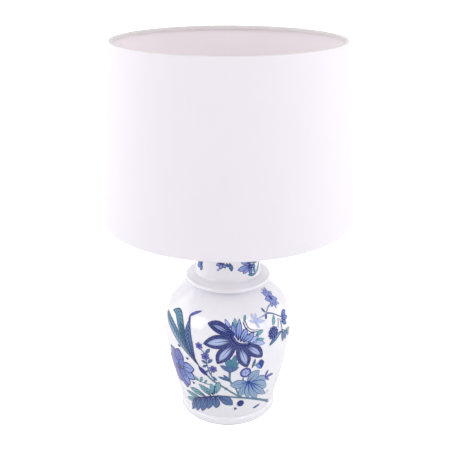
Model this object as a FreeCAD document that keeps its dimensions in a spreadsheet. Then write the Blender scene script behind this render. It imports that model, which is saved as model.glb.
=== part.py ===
"""Table lamp: a glazed ginger jar with a clamped lid, an E27 lampholder on a rod, and a tapered drum shade.

Millimetres, +Z up. The origin is the centre of the felt base, and the cord entry is at the back, on +Y.
Every driving dimension is a cell of the sheet "dims", and each sub-part is bound to those cells.
"""
import FreeCAD, Part
import Sketcher
import math
import os

Vector = FreeCAD.Vector

DIMENSIONS = {
    # felt base and jar
    "pad_r": 69.0, "pad_thick": 1.5,
    "foot_r": 71.2, "foot_wall": 7.6, "foot_top_z": 8.5, "foot_edge": 1.2,
    "waist_r": 68.5, "waist_z": 12.5, "side_arc_r": 683.4,
    "belly_r": 94.0, "belly_z": 148.8, "flank_arc_r": 237.0, "flank_arc_deg": 8.37,
    "shoulder_arc_r": 45.7, "shoulder_arc_deg": 44.6, "shoulder_top_r": 50.0, "shoulder_top_z": 207.2,
    "seat_z": 210.0, "mouth_r": 40.0, "jar_wall": 6.0, "inside_floor_r": 70.0,
    "recess_r": 64.0, "floor_z": 30.0, "floor_thick": 7.0, "floor_bend": 5.0,
    # cord entry
    "bush_z": 21.5, "bush_hole_r": 5.6, "bush_bore_r": 3.7, "bush_lip_r": 7.6, "bush_lip": 2.0,
    "bush_bite": 0.8, "bush_long": 9.0, "bush_gap": 0.3,
    # lid
    "lid_gap": 0.8, "plug_deep": 8.0, "plug_wall": 5.0, "brim_r": 61.4, "brim_edge": 6.6, "brim_round": 3.2,
    "brim_top_z": 220.0, "cove_r": 4.0, "neck_r": 46.4, "neck_top_z": 252.0, "lid_top_z": 262.0,
    "lid_wall": 5.0,
    # rod and its hardware
    "rod_r": 5.0, "rod_bore_r": 3.9, "rod_bottom_z": 13.0, "rod_top_z": 302.0, "thread_gap": 0.08,
    "slip_gap": 0.5, "gasket_r": 25.0, "gasket_thick": 2.5, "washer_r": 24.0, "washer_thick": 2.0,
    "lock_r": 9.2, "lock_thick": 1.2, "nut_flats": 17.0, "nut_thick": 5.0, "nut_bevel": 0.5,
    # lid plate and stem
    "plate_r": 26.5, "plate_rise": 5.0, "plate_thick": 1.2, "plate_top_r": 13.0,
    "stem_r": 8.0, "stem_bead_r": 10.5, "stem_bead": 3.0,
    # lampholder
    "holder_z": 291.0, "boss_r": 9.5, "boss_tall": 6.0, "holder_r": 20.0, "dome_tall": 7.0, "dome_bend": 10.0,
    "holder_wall": 2.0, "grub_r": 1.5, "grub_socket_r": 0.8, "grub_inset": 0.4,
    "block_z": 307.0, "block_thick": 8.0, "block_gap": 0.4, "block_ledge": 1.6, "wire_hole_r": 2.4,
    "terminal_r": 1.8, "terminal_at": 11.0, "terminal_head_r": 3.0, "terminal_head": 1.4,
    "strip_wide": 3.0, "strip_thick": 0.5, "tongue_at": 2.5,
    "shell_z": 317.5, "shell_tall": 25.0, "shell_thick": 0.4, "lamp_thread_r": 13.1, "lamp_thread_deep": 0.8,
    "lamp_pitch": 3.6, "lamp_gap": 0.3,
    "collar_z": 326.0, "collar_r": 25.5, "collar_thick": 3.0, "spigot_gap": 0.2, "skirt_ledge": 0.9,
    "skirt_r": 19.6, "skirt_bore_r": 14.9, "skirt_thread_deep": 0.8, "skirt_pitch": 2.8, "skirt_top_z": 352.0,
    # carrier and shade ring
    "rest_gap": 0.1, "play": 0.3, "hub_gap": 0.6, "hub_r": 28.0, "hub_thick": 3.8,
    "arm_r": 1.5, "arm_bend_at": 128.0, "arm_bend_r": 24.0,
    "ring_wall": 3.3, "ring_flange": 2.6, "ring_tall": 9.0, "ring_notch_r": 2.2,
    # shade
    "shade_bottom_z": 309.1, "shade_tall": 239.1, "shade_bottom_r": 175.0, "shade_top_r": 154.2,
    "fabric_thick": 0.6, "liner_thick": 0.5, "wire_r": 1.6, "hem_thick": 0.5, "hem_long": 5.0,
    "hem_skin": 0.4,
    # bulb
    "tip_gap": 0.3, "tip_z": 320.4, "tip_r": 4.0, "tip_tall": 1.4, "glass_r": 10.6, "glass_tall": 5.0,
    "cap_thick": 0.4, "cap_tall": 18.5, "bulb_neck_r": 13.3, "bulb_neck_tall": 5.0, "bulb_r": 30.0,
    "flare_arc_r": 62.0, "flare_z": 389.0, "bulb_top_z": 430.0, "bulb_wall": 1.6, "globe_wall": 1.0,
    "board_thick": 1.6, "board_gap": 0.3, "board_flange": 5.0,
}

doc = FreeCAD.newDocument("table_lamp")
sheet = doc.addObject("Spreadsheet::Sheet", "dims")
for row, (alias, number) in enumerate(DIMENSIONS.items(), start=1):
    sheet.set(f"A{row}", alias)
    sheet.set(f"B{row}", str(number))
    sheet.setAlias(f"B{row}", alias)
doc.recompute()


class Size:
    """A length or angle that knows its value and the sheet expression that gives it."""

    def __init__(self, value, text):
        self.value = float(value)
        self.text = text

    def joined(self, other, sign, value):
        return Size(value, f"({self.text} {sign} {other.text})")

    def __add__(self, other):
        other = size(other)
        return self.joined(other, "+", self.value + other.value)

    def __sub__(self, other):
        other = size(other)
        return self.joined(other, "-", self.value - other.value)

    def __mul__(self, other):
        other = size(other)
        return self.joined(other, "*", self.value * other.value)

    def __truediv__(self, other):
        other = size(other)
        return self.joined(other, "/", self.value / other.value)

    def __rsub__(self, other):
        return size(other) - self

    __radd__ = __add__
    __rmul__ = __mul__

    def __neg__(self):
        return Size(-self.value, f"(-1 * {self.text})")


def size(thing):
    """A Size as it is, or a plain number as one."""
    return thing if isinstance(thing, Size) else Size(thing, repr(float(thing)))


def cosine(degrees):
    return Size(math.cos(math.radians(degrees.value)), f"cos({degrees.text})")


def sine(degrees):
    return Size(math.sin(math.radians(degrees.value)), f"sin({degrees.text})")


def root(number):
    return Size(math.sqrt(number.value), f"sqrt({number.text})")


def angle_of(rise, run):
    """The angle in degrees whose tangent is rise over run."""
    value = math.degrees(math.atan(rise.value / run.value))
    return Size(value, f"(atan({rise.text} / {run.text}) / 1 deg)")


d = {alias: Size(number, f"dims.{alias}") for alias, number in DIMENSIONS.items()}
ZERO = size(0)
nodes = []


def keep(feature, label):
    """Names a finished sub-part, and lists it for export."""
    feature.Label = label
    nodes.append(feature)
    return feature


# ---------------------------------------------------------------- sketches
class Bend:
    """Between two corners of an outline: an arc of this radius, turning left (+1) or right (-1)."""

    def __init__(self, radius, turn):
        self.radius, self.turn = size(radius), turn


TANGENT = "tangent"  # an arc that carries on from the edge before it without a corner


def arc_centre(start, end, radius, turn):
    chord = end - start
    height = math.sqrt(max(radius * radius - chord.Length * chord.Length / 4, 0.0))
    left = Vector(-chord.y, chord.x, 0).normalize()
    return start + chord / 2 + left * (height * turn)


def tangent_centre(start, end, heading):
    """The centre of the arc that leaves start along heading and ends at end, and the side it turns to."""
    chord = end - start
    left = Vector(-heading.y, heading.x, 0)
    across = chord.dot(left)
    radius = chord.Length * chord.Length / (2 * across)
    return start + left * radius, (1 if radius > 0 else -1)


def add_arc(sketch, start, end, centre, turn):
    """Adds the arc and returns (its index, its end at start, its end at end)."""
    circle = Part.Circle(centre, Vector(0, 0, 1), (start - centre).Length)
    first, last = (start, end) if turn > 0 else (end, start)
    angles = [math.atan2(p.y - centre.y, p.x - centre.x) for p in (first, last)]
    index = sketch.addGeometry(Part.ArcOfCircle(circle, angles[0], angles[1]), False)
    return (index, 1, 2) if turn > 0 else (index, 2, 1)


def bind(sketch, kind, *where, to):
    """A dimension of the sketch, bound to a Size."""
    index = sketch.addConstraint(Sketcher.Constraint(kind, *where, to.value))
    sketch.setExpression(f"Constraints[{index}]", to.text)


def draw(sketch, outline, closed=True):
    """Draws an outline of corners (x, y), with a Bend or TANGENT between two corners joined by an arc."""
    corners, between = [], []
    for item in outline:
        if isinstance(item, tuple):
            corners.append((size(item[0]), size(item[1])))
            between.append(None)
        else:
            between[-1] = item
    points = [Vector(x.value, y.value, 0) for x, y in corners]
    edges, heading = [], None
    for i in range(len(points) if closed else len(points) - 1):
        start, end, how = points[i], points[(i + 1) % len(points)], between[i]
        if how is None:
            index = sketch.addGeometry(Part.LineSegment(start, end), False)
            edges.append((index, 1, 2))
            heading = (end - start).normalize()
            continue
        if how == TANGENT:
            centre, turn = tangent_centre(start, end, heading)
        else:
            centre, turn = arc_centre(start, end, how.radius.value, how.turn), how.turn
        edges.append(add_arc(sketch, start, end, centre, turn))
        spoke = (end - centre).normalize()
        heading = Vector(-spoke.y, spoke.x, 0) * turn
    for i, (index, first, last) in enumerate(edges):
        before = edges[i - 1] if i or closed else None
        if before and between[i] == TANGENT:
            sketch.addConstraint(Sketcher.Constraint("Tangent", before[0], before[2], index, first))
        elif before:
            sketch.addConstraint(Sketcher.Constraint("Coincident", before[0], before[2], index, first))
        bind(sketch, "DistanceX", -1, 1, index, first, to=corners[i][0])
        bind(sketch, "DistanceY", -1, 1, index, first, to=corners[i][1])
        if isinstance(between[i], Bend):
            bind(sketch, "Radius", index, to=between[i].radius)
    if not closed:
        index, _, last = edges[-1]
        bind(sketch, "DistanceX", -1, 1, index, last, to=corners[-1][0])
        bind(sketch, "DistanceY", -1, 1, index, last, to=corners[-1][1])
    return sketch


def add_circle(sketch, x, y, radius):
    x, y = size(x), size(y)
    index = sketch.addGeometry(Part.Circle(Vector(x.value, y.value, 0), Vector(0, 0, 1), radius.value), False)
    bind(sketch, "DistanceX", -1, 1, index, 3, to=x)
    bind(sketch, "DistanceY", -1, 1, index, 3, to=y)
    bind(sketch, "Radius", index, to=radius)
    return sketch


def new_body(name):
    body = doc.addObject("PartDesign::Body", name)
    body.AllowCompound = True
    return body


def new_sketch(body, plane, name, lift=None):
    """A sketch on one of the body's origin planes, lifted off it by a Size if asked."""
    sketch = body.newObject("Sketcher::SketchObject", name)
    base = [f for f in body.Origin.OriginFeatures if f.Role == plane][0]
    sketch.AttachmentSupport = [(base, "")]
    sketch.MapMode = "FlatFace"
    if lift is not None:
        sketch.AttachmentOffset = FreeCAD.Placement(Vector(0, 0, lift.value), FreeCAD.Rotation())
        sketch.setExpression("AttachmentOffset.Base.z", lift.text)
    return sketch


def origin_axis(body, role):
    return [f for f in body.Origin.OriginFeatures if f.Role == role][0]


def turned(label, outline, hollow=None):
    """A body turned about Z from an outline of (radius, height) corners, round a hollow if one is given."""
    body = new_body(label)
    sketch = draw(new_sketch(body, "XZ_Plane", label + "_outline"), outline)
    if hollow:
        draw(sketch, hollow)
    turn = body.newObject("PartDesign::Revolution", label + "_turned")
    turn.Profile = sketch
    turn.ReferenceAxis = (sketch, ["V_Axis"])
    turn.Angle = 360
    sketch.Visibility = False
    return body


def padded(body, sketch, name, length, both_ways=False):
    pad = body.newObject("PartDesign::Pad", name)
    pad.Profile = sketch
    pad.Length = length.value
    pad.setExpression("Length", length.text)
    pad.Midplane = both_ways
    return pad


def sleeve(label, inner, outer, low, high):
    """A plain round sleeve or washer."""
    return turned(label, [(inner, low), (outer, low), (outer, high), (inner, high)])


def hex_nut(label, bottom):
    """A chamfered hex nut for the rod, standing on the height bottom."""
    body = new_body(label)
    sketch = new_sketch(body, "XY_Plane", label + "_outline", lift=bottom)
    across_corners = d["nut_flats"] / cosine(size(30))
    hexagon = []
    for k in range(6):
        at = size(60 * k)
        hexagon.append((across_corners / 2 * cosine(at), across_corners / 2 * sine(at)))
    draw(sketch, hexagon)
    add_circle(sketch, ZERO, ZERO, d["rod_r"] + d["thread_gap"])
    pad = padded(body, sketch, label + "_blank", d["nut_thick"])
    doc.recompute()
    flats = [
        f"Edge{i}" for i, edge in enumerate(pad.Shape.Edges, start=1)
        if edge.BoundBox.ZLength < 1e-6 and isinstance(edge.Curve, Part.Line)
    ]
    bevel = body.newObject("PartDesign::Chamfer", label + "_bevel")
    bevel.Base = (pad, flats)
    bevel.Size = d["nut_bevel"].value
    bevel.setExpression("Size", d["nut_bevel"].text)
    return body


def cylinder(label, radius, length, base=None, turn=None):
    """A Part cylinder along its own +Z, placed at base (x, y, z) and turned about X by the Size turn."""
    solid = doc.addObject("Part::Cylinder", label)
    solid.Radius = radius.value
    solid.Height = length.value
    solid.setExpression("Radius", radius.text)
    solid.setExpression("Height", length.text)
    place(solid, base, turn)
    return solid


def place(feature, base, turn=None):
    """Places a feature at base (x, y, z), turned about X by turn degrees."""
    x, y, z = (size(value) for value in base)
    angle = turn if turn is not None else ZERO
    rotation = FreeCAD.Rotation(Vector(1, 0, 0), angle.value)
    feature.Placement = FreeCAD.Placement(Vector(x.value, y.value, z.value), rotation)
    for axis, value in (("x", x), ("y", y), ("z", z)):
        feature.setExpression(f".Placement.Base.{axis}", value.text)
    if turn is not None:
        feature.setExpression(".Placement.Rotation.Angle", angle.text)


def cut(label, base, tools):
    """The base with every tool taken away."""
    result = base
    for number, tool in enumerate(tools, start=1):
        step = doc.addObject("Part::Cut", label if number == len(tools) else f"{label}_cut_{number}")
        step.Base = result
        step.Tool = tool
        result = step
    return result


def ridges(low, high, start, pitch, count):
    """Outline corners, going up, of count rounded-off thread ridges between the radii low and high."""
    corners = []
    for k in range(count):
        z = start + pitch * k
        corners += [(low, z), (low, z + pitch * 0.3), (high, z + pitch * 0.5), (high, z + pitch * 0.8)]
    return corners


# ---------------------------------------------------------------- jar and base
PAD_TOP = d["pad_thick"]
FLOOR_TOP = d["floor_z"] + d["floor_thick"]
ROD_SLIP = d["rod_r"] + d["slip_gap"]
ROD_THREAD = d["rod_r"] + d["thread_gap"]


def jar_arc(offset, degrees, radius, way):
    """A point on the arc through the belly, turned by degrees and offset in from the outer face.

    way is +1 for the arc above the belly and -1 for the one below it."""
    reach = d["belly_r"] - radius + (radius - offset) * cosine(degrees)
    return (reach, d["belly_z"] + (radius - offset) * sine(degrees) * way)


def felt_pad():
    keep(sleeve("felt_pad", ZERO, d["pad_r"], ZERO, PAD_TOP), "felt_pad")


def jar_outside():
    """The outer face from the foot up to the seat of the lid."""
    return [
        (d["foot_r"] - d["foot_wall"], PAD_TOP),
        (d["foot_r"] - d["foot_edge"], PAD_TOP),
        Bend(d["foot_edge"], 1),
        (d["foot_r"], PAD_TOP + d["foot_edge"]),
        (d["foot_r"], d["foot_top_z"]),
        TANGENT,
        (d["waist_r"], d["waist_z"]),
        Bend(d["side_arc_r"], 1),
        jar_arc(ZERO, d["flank_arc_deg"], d["flank_arc_r"], -1),
        Bend(d["flank_arc_r"], 1),
        (d["belly_r"], d["belly_z"]),
        Bend(d["shoulder_arc_r"], 1),
        jar_arc(ZERO, d["shoulder_arc_deg"], d["shoulder_arc_r"], 1),
        TANGENT,
        (d["shoulder_top_r"], d["shoulder_top_z"]),
        (d["shoulder_top_r"], d["seat_z"]),
        (d["mouth_r"], d["seat_z"]),
    ]


def jar_inside():
    """The inner face from the mouth down to the floor, and the recess under the floor."""
    wall = d["jar_wall"]
    floor_r = d["inside_floor_r"] - d["floor_bend"]
    return [
        (d["mouth_r"], d["shoulder_top_z"] - wall),
        jar_arc(wall, d["shoulder_arc_deg"], d["shoulder_arc_r"], 1),
        Bend(d["shoulder_arc_r"] - wall, -1),
        (d["belly_r"] - wall, d["belly_z"]),
        Bend(d["flank_arc_r"] - wall, -1),
        jar_arc(wall, d["flank_arc_deg"], d["flank_arc_r"], -1),
        (d["inside_floor_r"], FLOOR_TOP + d["floor_bend"]),
        Bend(d["floor_bend"], -1),
        (floor_r, FLOOR_TOP),
        (ROD_SLIP, FLOOR_TOP),
        (ROD_SLIP, d["floor_z"]),
        (d["recess_r"], d["floor_z"]),
        (d["recess_r"] - wall / 3, d["waist_z"]),
    ]


def bush_seat():
    """(radius, turn about X) of the jar's outer face at the height of the cord entry."""
    top_r, top_z = jar_arc(ZERO, d["flank_arc_deg"], d["flank_arc_r"], -1)
    run, rise = top_r - d["waist_r"], top_z - d["waist_z"]
    up = d["bush_z"] - d["waist_z"]
    bulge = up * (rise - up) / d["side_arc_r"] / 2
    lean = angle_of(run, rise) + (rise / 2 - up) / d["side_arc_r"] * (180 / math.pi)
    return d["waist_r"] + run * up / rise + bulge, -(lean + 90)


def jar_and_bush():
    radius, turn = bush_seat()
    away = d["bush_long"] + d["bush_bite"]
    blank = turned("jar_blank", jar_outside() + jar_inside())
    lean = -turn - 90
    inward = (ZERO, radius - away * cosine(lean), d["bush_z"] + away * sine(lean))
    bore = cylinder("bush_hole", d["bush_hole_r"], away * 2, inward, turn)
    bite = d["bush_bite"]
    seat_at = (ZERO, radius - bite * cosine(lean), d["bush_z"] + bite * sine(lean))
    seat = cylinder("bush_seat", d["bush_lip_r"] + d["bush_gap"], away, seat_at, turn)
    keep(cut("jar_body", blank, [bore, seat]), "jar_body")
    shank_r = d["bush_hole_r"] - d["bush_gap"]
    outline = [
        (d["bush_bore_r"], -d["bush_long"]),
        (shank_r, -d["bush_long"]),
        (shank_r, ZERO),
        (d["bush_lip_r"], ZERO),
        (d["bush_lip_r"], d["bush_lip"] / 2),
        Bend(d["bush_lip"], 1),
        (d["bush_lip_r"] - d["bush_lip"] / 2, d["bush_lip"]),
        (d["bush_bore_r"], d["bush_lip"]),
    ]
    bush = turned("cord_bush", outline)
    place(bush, seat_at, turn)
    keep(bush, "cord_bush")


def jar_lid():
    plug_r = d["mouth_r"] - d["lid_gap"]
    plug_in = plug_r - d["plug_wall"]
    neck_in = d["neck_r"] - d["lid_wall"]
    roof = d["lid_top_z"] - d["lid_wall"]
    edge_top = d["seat_z"] + d["brim_edge"]
    rounding = d["lid_top_z"] - d["neck_top_z"]
    outline = [
        (plug_in, d["seat_z"] - d["plug_deep"]),
        (plug_r, d["seat_z"] - d["plug_deep"]),
        (plug_r, d["seat_z"]),
        (d["brim_r"] - d["brim_round"], d["seat_z"]),
        Bend(d["brim_round"], 1),
        (d["brim_r"], d["seat_z"] + d["brim_round"]),
        Bend(d["brim_round"] * 1.1, 1),
        (d["brim_r"] - d["brim_round"], edge_top),
        (d["neck_r"] + d["cove_r"], d["brim_top_z"]),
        Bend(d["cove_r"], -1),
        (d["neck_r"], d["brim_top_z"] + d["cove_r"]),
        (d["neck_r"], d["neck_top_z"]),
        Bend(rounding, 1),
        (d["neck_r"] - rounding, d["lid_top_z"]),
        (ROD_SLIP, d["lid_top_z"]),
        (ROD_SLIP, roof),
        (neck_in - rounding / 2, roof),
        Bend(rounding / 2, -1),
        (neck_in, roof - rounding / 2),
        (neck_in, d["brim_top_z"] + d["cove_r"]),
        (plug_in, d["brim_top_z"] - d["cove_r"]),
    ]
    keep(turned("jar_lid", outline), "jar_lid")


# ---------------------------------------------------------------- rod and clamp
def clamp():
    gasket_z = d["floor_z"] - d["gasket_thick"]
    washer_z = gasket_z - d["washer_thick"]
    lock_z = washer_z - d["lock_thick"]
    keep(sleeve("cork_gasket", ROD_SLIP, d["gasket_r"], gasket_z, d["floor_z"]), "cork_gasket")
    keep(sleeve("clamp_washer", ROD_SLIP, d["washer_r"], washer_z, gasket_z), "clamp_washer")
    keep(sleeve("lock_washer", ROD_SLIP, d["lock_r"], lock_z, washer_z), "lock_washer")
    keep(hex_nut("bottom_nut", lock_z - d["nut_thick"]), "bottom_nut")
    rod = sleeve("threaded_rod", d["rod_bore_r"], d["rod_r"], d["rod_bottom_z"], d["rod_top_z"])
    keep(rod, "threaded_rod")


def lid_plate():
    low = d["lid_top_z"]
    high = low + d["plate_rise"]
    skin = d["plate_thick"]
    outline = [
        (d["plate_r"] - skin, low),
        (d["plate_r"], low),
        (d["plate_r"], low + skin),
        Bend(d["plate_r"], 1),
        (d["plate_top_r"], high),
        (ROD_SLIP, high),
        (ROD_SLIP, high - skin),
        (d["plate_top_r"] - skin, high - skin),
        Bend(d["plate_r"], -1),
        (d["plate_r"] - skin, low + skin / 2),
    ]
    keep(turned("lid_plate", outline), "lid_plate")


def stem_tube():
    low = d["lid_top_z"] + d["plate_rise"]
    outline = [
        (ROD_SLIP, low),
        (d["stem_bead_r"], low),
        Bend(d["stem_bead"] * 0.7, 1),
        (d["stem_bead_r"], low + d["stem_bead"]),
        (d["stem_r"], low + d["stem_bead"]),
        (d["stem_r"], d["holder_z"]),
        (ROD_SLIP, d["holder_z"]),
    ]
    keep(turned("stem_tube", outline), "stem_tube")


# ---------------------------------------------------------------- lampholder
BOSS_TOP = d["holder_z"] + d["boss_tall"]
DOME_TOP = BOSS_TOP + d["dome_tall"]
BLOCK_TOP = d["block_z"] + d["block_thick"]
CUP_IN = d["holder_r"] - d["holder_wall"]
COLLAR_TOP = d["collar_z"] + d["collar_thick"]


def holder_cap():
    ledge_r = CUP_IN - d["block_ledge"]
    throat = BOSS_TOP + d["holder_wall"]
    outline = [
        (ROD_THREAD, d["holder_z"]),
        (d["boss_r"], d["holder_z"]),
        (d["boss_r"], BOSS_TOP),
        Bend(d["dome_bend"], 1),
        (d["holder_r"], DOME_TOP),
        (d["holder_r"], d["collar_z"]),
        (CUP_IN, d["collar_z"]),
        (CUP_IN, d["block_z"]),
        (ledge_r, d["block_z"]),
        (ledge_r, DOME_TOP),
        (d["boss_r"] - d["holder_wall"] / 2, throat),
        (ROD_THREAD, throat),
    ]
    blank = turned("holder_cap_blank", outline)
    middle = d["holder_z"] + d["boss_tall"] / 2
    hole = cylinder("grub_hole", d["grub_r"] + d["thread_gap"], d["boss_r"] * 2, (0, 0, middle), size(-90))
    keep(cut("holder_cap", blank, [hole]), "holder_cap")


def holder_grub_screw():
    long = d["boss_r"] - d["rod_r"] - d["grub_inset"]
    middle = d["holder_z"] + d["boss_tall"] / 2
    at = (ZERO, d["rod_r"], middle)
    blank = cylinder("grub_blank", d["grub_r"], long, at, size(-90))
    socket_at = (ZERO, d["rod_r"] + long / 2, middle)
    socket = cylinder("grub_socket", d["grub_socket_r"], long, socket_at, size(-90))
    keep(cut("holder_grub_screw", blank, [socket]), "holder_grub_screw")


def contact_block():
    body = new_body("contact_block")
    sketch = new_sketch(body, "XY_Plane", "block_outline", lift=d["block_z"])
    add_circle(sketch, ZERO, ZERO, CUP_IN - d["block_gap"])
    screw_hole = d["terminal_r"] + d["thread_gap"]
    for side in (1, -1):
        add_circle(sketch, d["terminal_at"] * side, ZERO, screw_hole)
        add_circle(sketch, ZERO, -d["terminal_at"] * 0.7 * side, d["wire_hole_r"])
    padded(body, sketch, "block_solid", d["block_thick"])
    keep(body, "contact_block")


def terminal_screws():
    """Two screws, their heads on the block's top face."""
    low = d["block_z"] + d["block_thick"] / 3
    body = new_body("terminal_screws")
    for side, name in ((1, "right"), (-1, "left")):
        shank = new_sketch(body, "XY_Plane", name + "_shank_outline", lift=low)
        add_circle(shank, d["terminal_at"] * side, ZERO, d["terminal_r"])
        padded(body, shank, name + "_shank", BLOCK_TOP - low)
        head = new_sketch(body, "XY_Plane", name + "_head_outline", lift=BLOCK_TOP)
        add_circle(head, d["terminal_at"] * side, ZERO, d["terminal_head_r"])
        padded(body, head, name + "_head", d["terminal_head"])
    keep(body, "terminal_screws")


def bent_strip(label, plane, outline, wide):
    """A bent metal strip: its edge outline in a vertical plane, padded both ways."""
    body = new_body(label)
    sketch = draw(new_sketch(body, plane, label + "_edge"), outline)
    padded(body, sketch, label + "_strip", wide, both_ways=True)
    return keep(body, label)


def contacts():
    """The spring tongue under the bulb's tip, and the side strip to the screw shell."""
    thick = d["strip_thick"]
    tongue_top = d["tip_z"] - d["tip_gap"]
    half = d["tongue_at"]
    foot = -(d["terminal_at"] - d["terminal_head_r"] - thick)
    tongue = [
        (foot, BLOCK_TOP),
        (foot + half, BLOCK_TOP),
        (-half + thick / 2, tongue_top - thick),
        (half, tongue_top - thick),
        (half, tongue_top),
        (-half, tongue_top),
        (foot + half - thick / 2, BLOCK_TOP + thick),
        (foot, BLOCK_TOP + thick),
    ]
    bent_strip("centre_contact", "XZ_Plane", tongue, d["strip_wide"])
    reach = d["lamp_thread_r"] - d["strip_wide"] / 4
    upright = reach - thick * 2
    tab_top = d["tip_z"] + thick
    side = [
        (reach - d["strip_wide"], BLOCK_TOP),
        (upright + thick, BLOCK_TOP),
        (upright + thick, tab_top - thick),
        (reach, tab_top - thick),
        (reach, tab_top),
        (upright, tab_top),
        (upright, BLOCK_TOP + thick),
        (reach - d["strip_wide"], BLOCK_TOP + thick),
    ]
    bent_strip("side_contact", "YZ_Plane", side, d["strip_wide"])


def screw_shell():
    """The thin threaded liner that the bulb's cap screws into."""
    low = d["lamp_thread_r"] + d["lamp_gap"]
    high = low + d["lamp_thread_deep"]
    skin = d["shell_thick"]
    count = int(d["shell_tall"].value / d["lamp_pitch"].value)
    top = d["shell_z"] + d["shell_tall"]
    inner = ridges(low, high, d["shell_z"], d["lamp_pitch"], count) + [(low, top)]
    outer = [(radius + skin, z) for radius, z in inner]
    keep(turned("screw_shell", outer + inner[::-1]), "screw_shell")


def holder_skirt():
    """The threaded upper sleeve of the lampholder, with the collar that the shade rests on."""
    low = d["skirt_r"] - d["skirt_thread_deep"]
    spigot = CUP_IN - d["spigot_gap"]
    bottom = d["shell_z"] - d["skirt_ledge"]
    start = COLLAR_TOP + d["hub_thick"] / 2
    count = int((d["skirt_top_z"] - start).value / d["skirt_pitch"].value)
    outline = [
        (d["lamp_thread_r"], bottom),
        (spigot, bottom),
        (spigot, d["collar_z"]),
        (d["collar_r"], d["collar_z"]),
        (d["collar_r"], COLLAR_TOP),
        (low, COLLAR_TOP),
        *ridges(low, d["skirt_r"], start, d["skirt_pitch"], count),
        (low, d["skirt_top_z"]),
        (d["skirt_bore_r"], d["skirt_top_z"]),
        (d["skirt_bore_r"], d["shell_z"]),
        (d["lamp_thread_r"], d["shell_z"]),
    ]
    keep(turned("holder_skirt", outline), "holder_skirt")


# ---------------------------------------------------------------- shade
HUB_LOW = COLLAR_TOP + d["rest_gap"]
HUB_TOP = HUB_LOW + d["hub_thick"]
HUB_MIDDLE = HUB_LOW + d["hub_thick"] / 2
TAPER = d["shade_bottom_r"] - d["shade_top_r"]
SLANT = root(d["shade_tall"] * d["shade_tall"] + TAPER * TAPER)
SHADE_TOP = d["shade_bottom_z"] + d["shade_tall"]
WALL = d["fabric_thick"] + d["liner_thick"]
BEAD = d["wire_r"] * 2 + d["hem_skin"] * 2


def wall_point(along, deep, from_top=False):
    """A point of the shade's wall: along the slant from its edge, and deep under the outer face."""
    radius, height, way = d["shade_bottom_r"], d["shade_bottom_z"], 1
    if from_top:
        radius, height, way = d["shade_top_r"], SHADE_TOP, -1
    across = along * TAPER / SLANT * way + deep * d["shade_tall"] / SLANT
    rise = along * d["shade_tall"] / SLANT * way - deep * TAPER / SLANT
    return (radius - across, height + rise)


def shade_layer(label, deep, thick):
    """One conical layer of the shade's wall, between the two hems."""
    edge = d["hem_thick"]
    outline = [
        wall_point(edge, deep + thick),
        wall_point(edge, deep),
        wall_point(edge, deep, from_top=True),
        wall_point(edge, deep + thick, from_top=True),
    ]
    return keep(turned(label, outline), label)


def wire_place(from_top):
    return wall_point(d["hem_long"] / 2, WALL + d["hem_skin"] + d["wire_r"], from_top)


def wire_ring(label, from_top):
    body = new_body(label)
    sketch = new_sketch(body, "XZ_Plane", label + "_section")
    add_circle(sketch, *wire_place(from_top), d["wire_r"])
    turn = body.newObject("PartDesign::Revolution", label + "_turned")
    turn.Profile = sketch
    turn.ReferenceAxis = (sketch, ["V_Axis"])
    turn.Angle = 360
    return keep(body, label)


def hem(label, from_top):
    """The rolled hem: it covers the wall's edge, and has a square channel that the round wire just fits."""
    corner = d["wire_r"] / 2
    inner = WALL + BEAD
    turn = 1 if from_top else -1
    outline = [
        wall_point(ZERO, ZERO, from_top),
        wall_point(ZERO, inner - corner, from_top),
        Bend(corner, turn),
        wall_point(corner, inner, from_top),
        wall_point(d["hem_long"] - corner, inner, from_top),
        Bend(corner, turn),
        wall_point(d["hem_long"], inner - corner, from_top),
        wall_point(d["hem_long"], WALL, from_top),
        wall_point(d["hem_thick"], WALL, from_top),
        wall_point(d["hem_thick"], ZERO, from_top),
    ]
    low, high = d["hem_long"] / 2 - d["wire_r"], d["hem_long"] / 2 + d["wire_r"]
    near, far = WALL + d["hem_skin"], inner - d["hem_skin"]
    channel = [
        wall_point(low, near, from_top),
        wall_point(low, far, from_top),
        wall_point(high, far, from_top),
        wall_point(high, near, from_top),
    ]
    return turned(label, outline, channel)


def arms_blank():
    """Three round arms from the hub's middle out to the bottom wire, each with one bend."""
    ring_r, ring_z = wire_place(False)
    corner, bend = d["arm_bend_at"], d["arm_bend_r"]
    run, drop = ring_r - corner, HUB_MIDDLE - ring_z
    reach = root(run * run + drop * drop)
    before = bend * (reach - run) / drop
    path = [
        (d["hub_r"] - d["arm_r"] * 2, HUB_MIDDLE),
        (corner - before, HUB_MIDDLE),
        TANGENT,
        (corner + before * run / reach, HUB_MIDDLE - before * drop / reach),
        (ring_r, ring_z),
    ]
    body = new_body("arms_blank")
    section = new_sketch(body, "YZ_Plane", "arm_section", lift=d["hub_r"] - d["arm_r"] * 2)
    add_circle(section, ZERO, HUB_MIDDLE, d["arm_r"])
    spine = draw(new_sketch(body, "XZ_Plane", "arm_path"), path, closed=False)
    doc.recompute()
    arm = body.newObject("PartDesign::AdditivePipe", "arm")
    arm.Profile = section
    arm.Spine = (spine, ["Edge1", "Edge2", "Edge3"])
    doc.recompute()
    turns = body.newObject("PartDesign::PolarPattern", "arms")
    turns.Originals = [arm]
    turns.Axis = (origin_axis(body, "Z_Axis"), [""])
    turns.Angle = 360
    turns.Occurrences = 3
    body.Tip = turns
    body.Placement = FreeCAD.Placement(Vector(0, 0, 0), FreeCAD.Rotation(Vector(0, 0, 1), 90))
    return body


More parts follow.
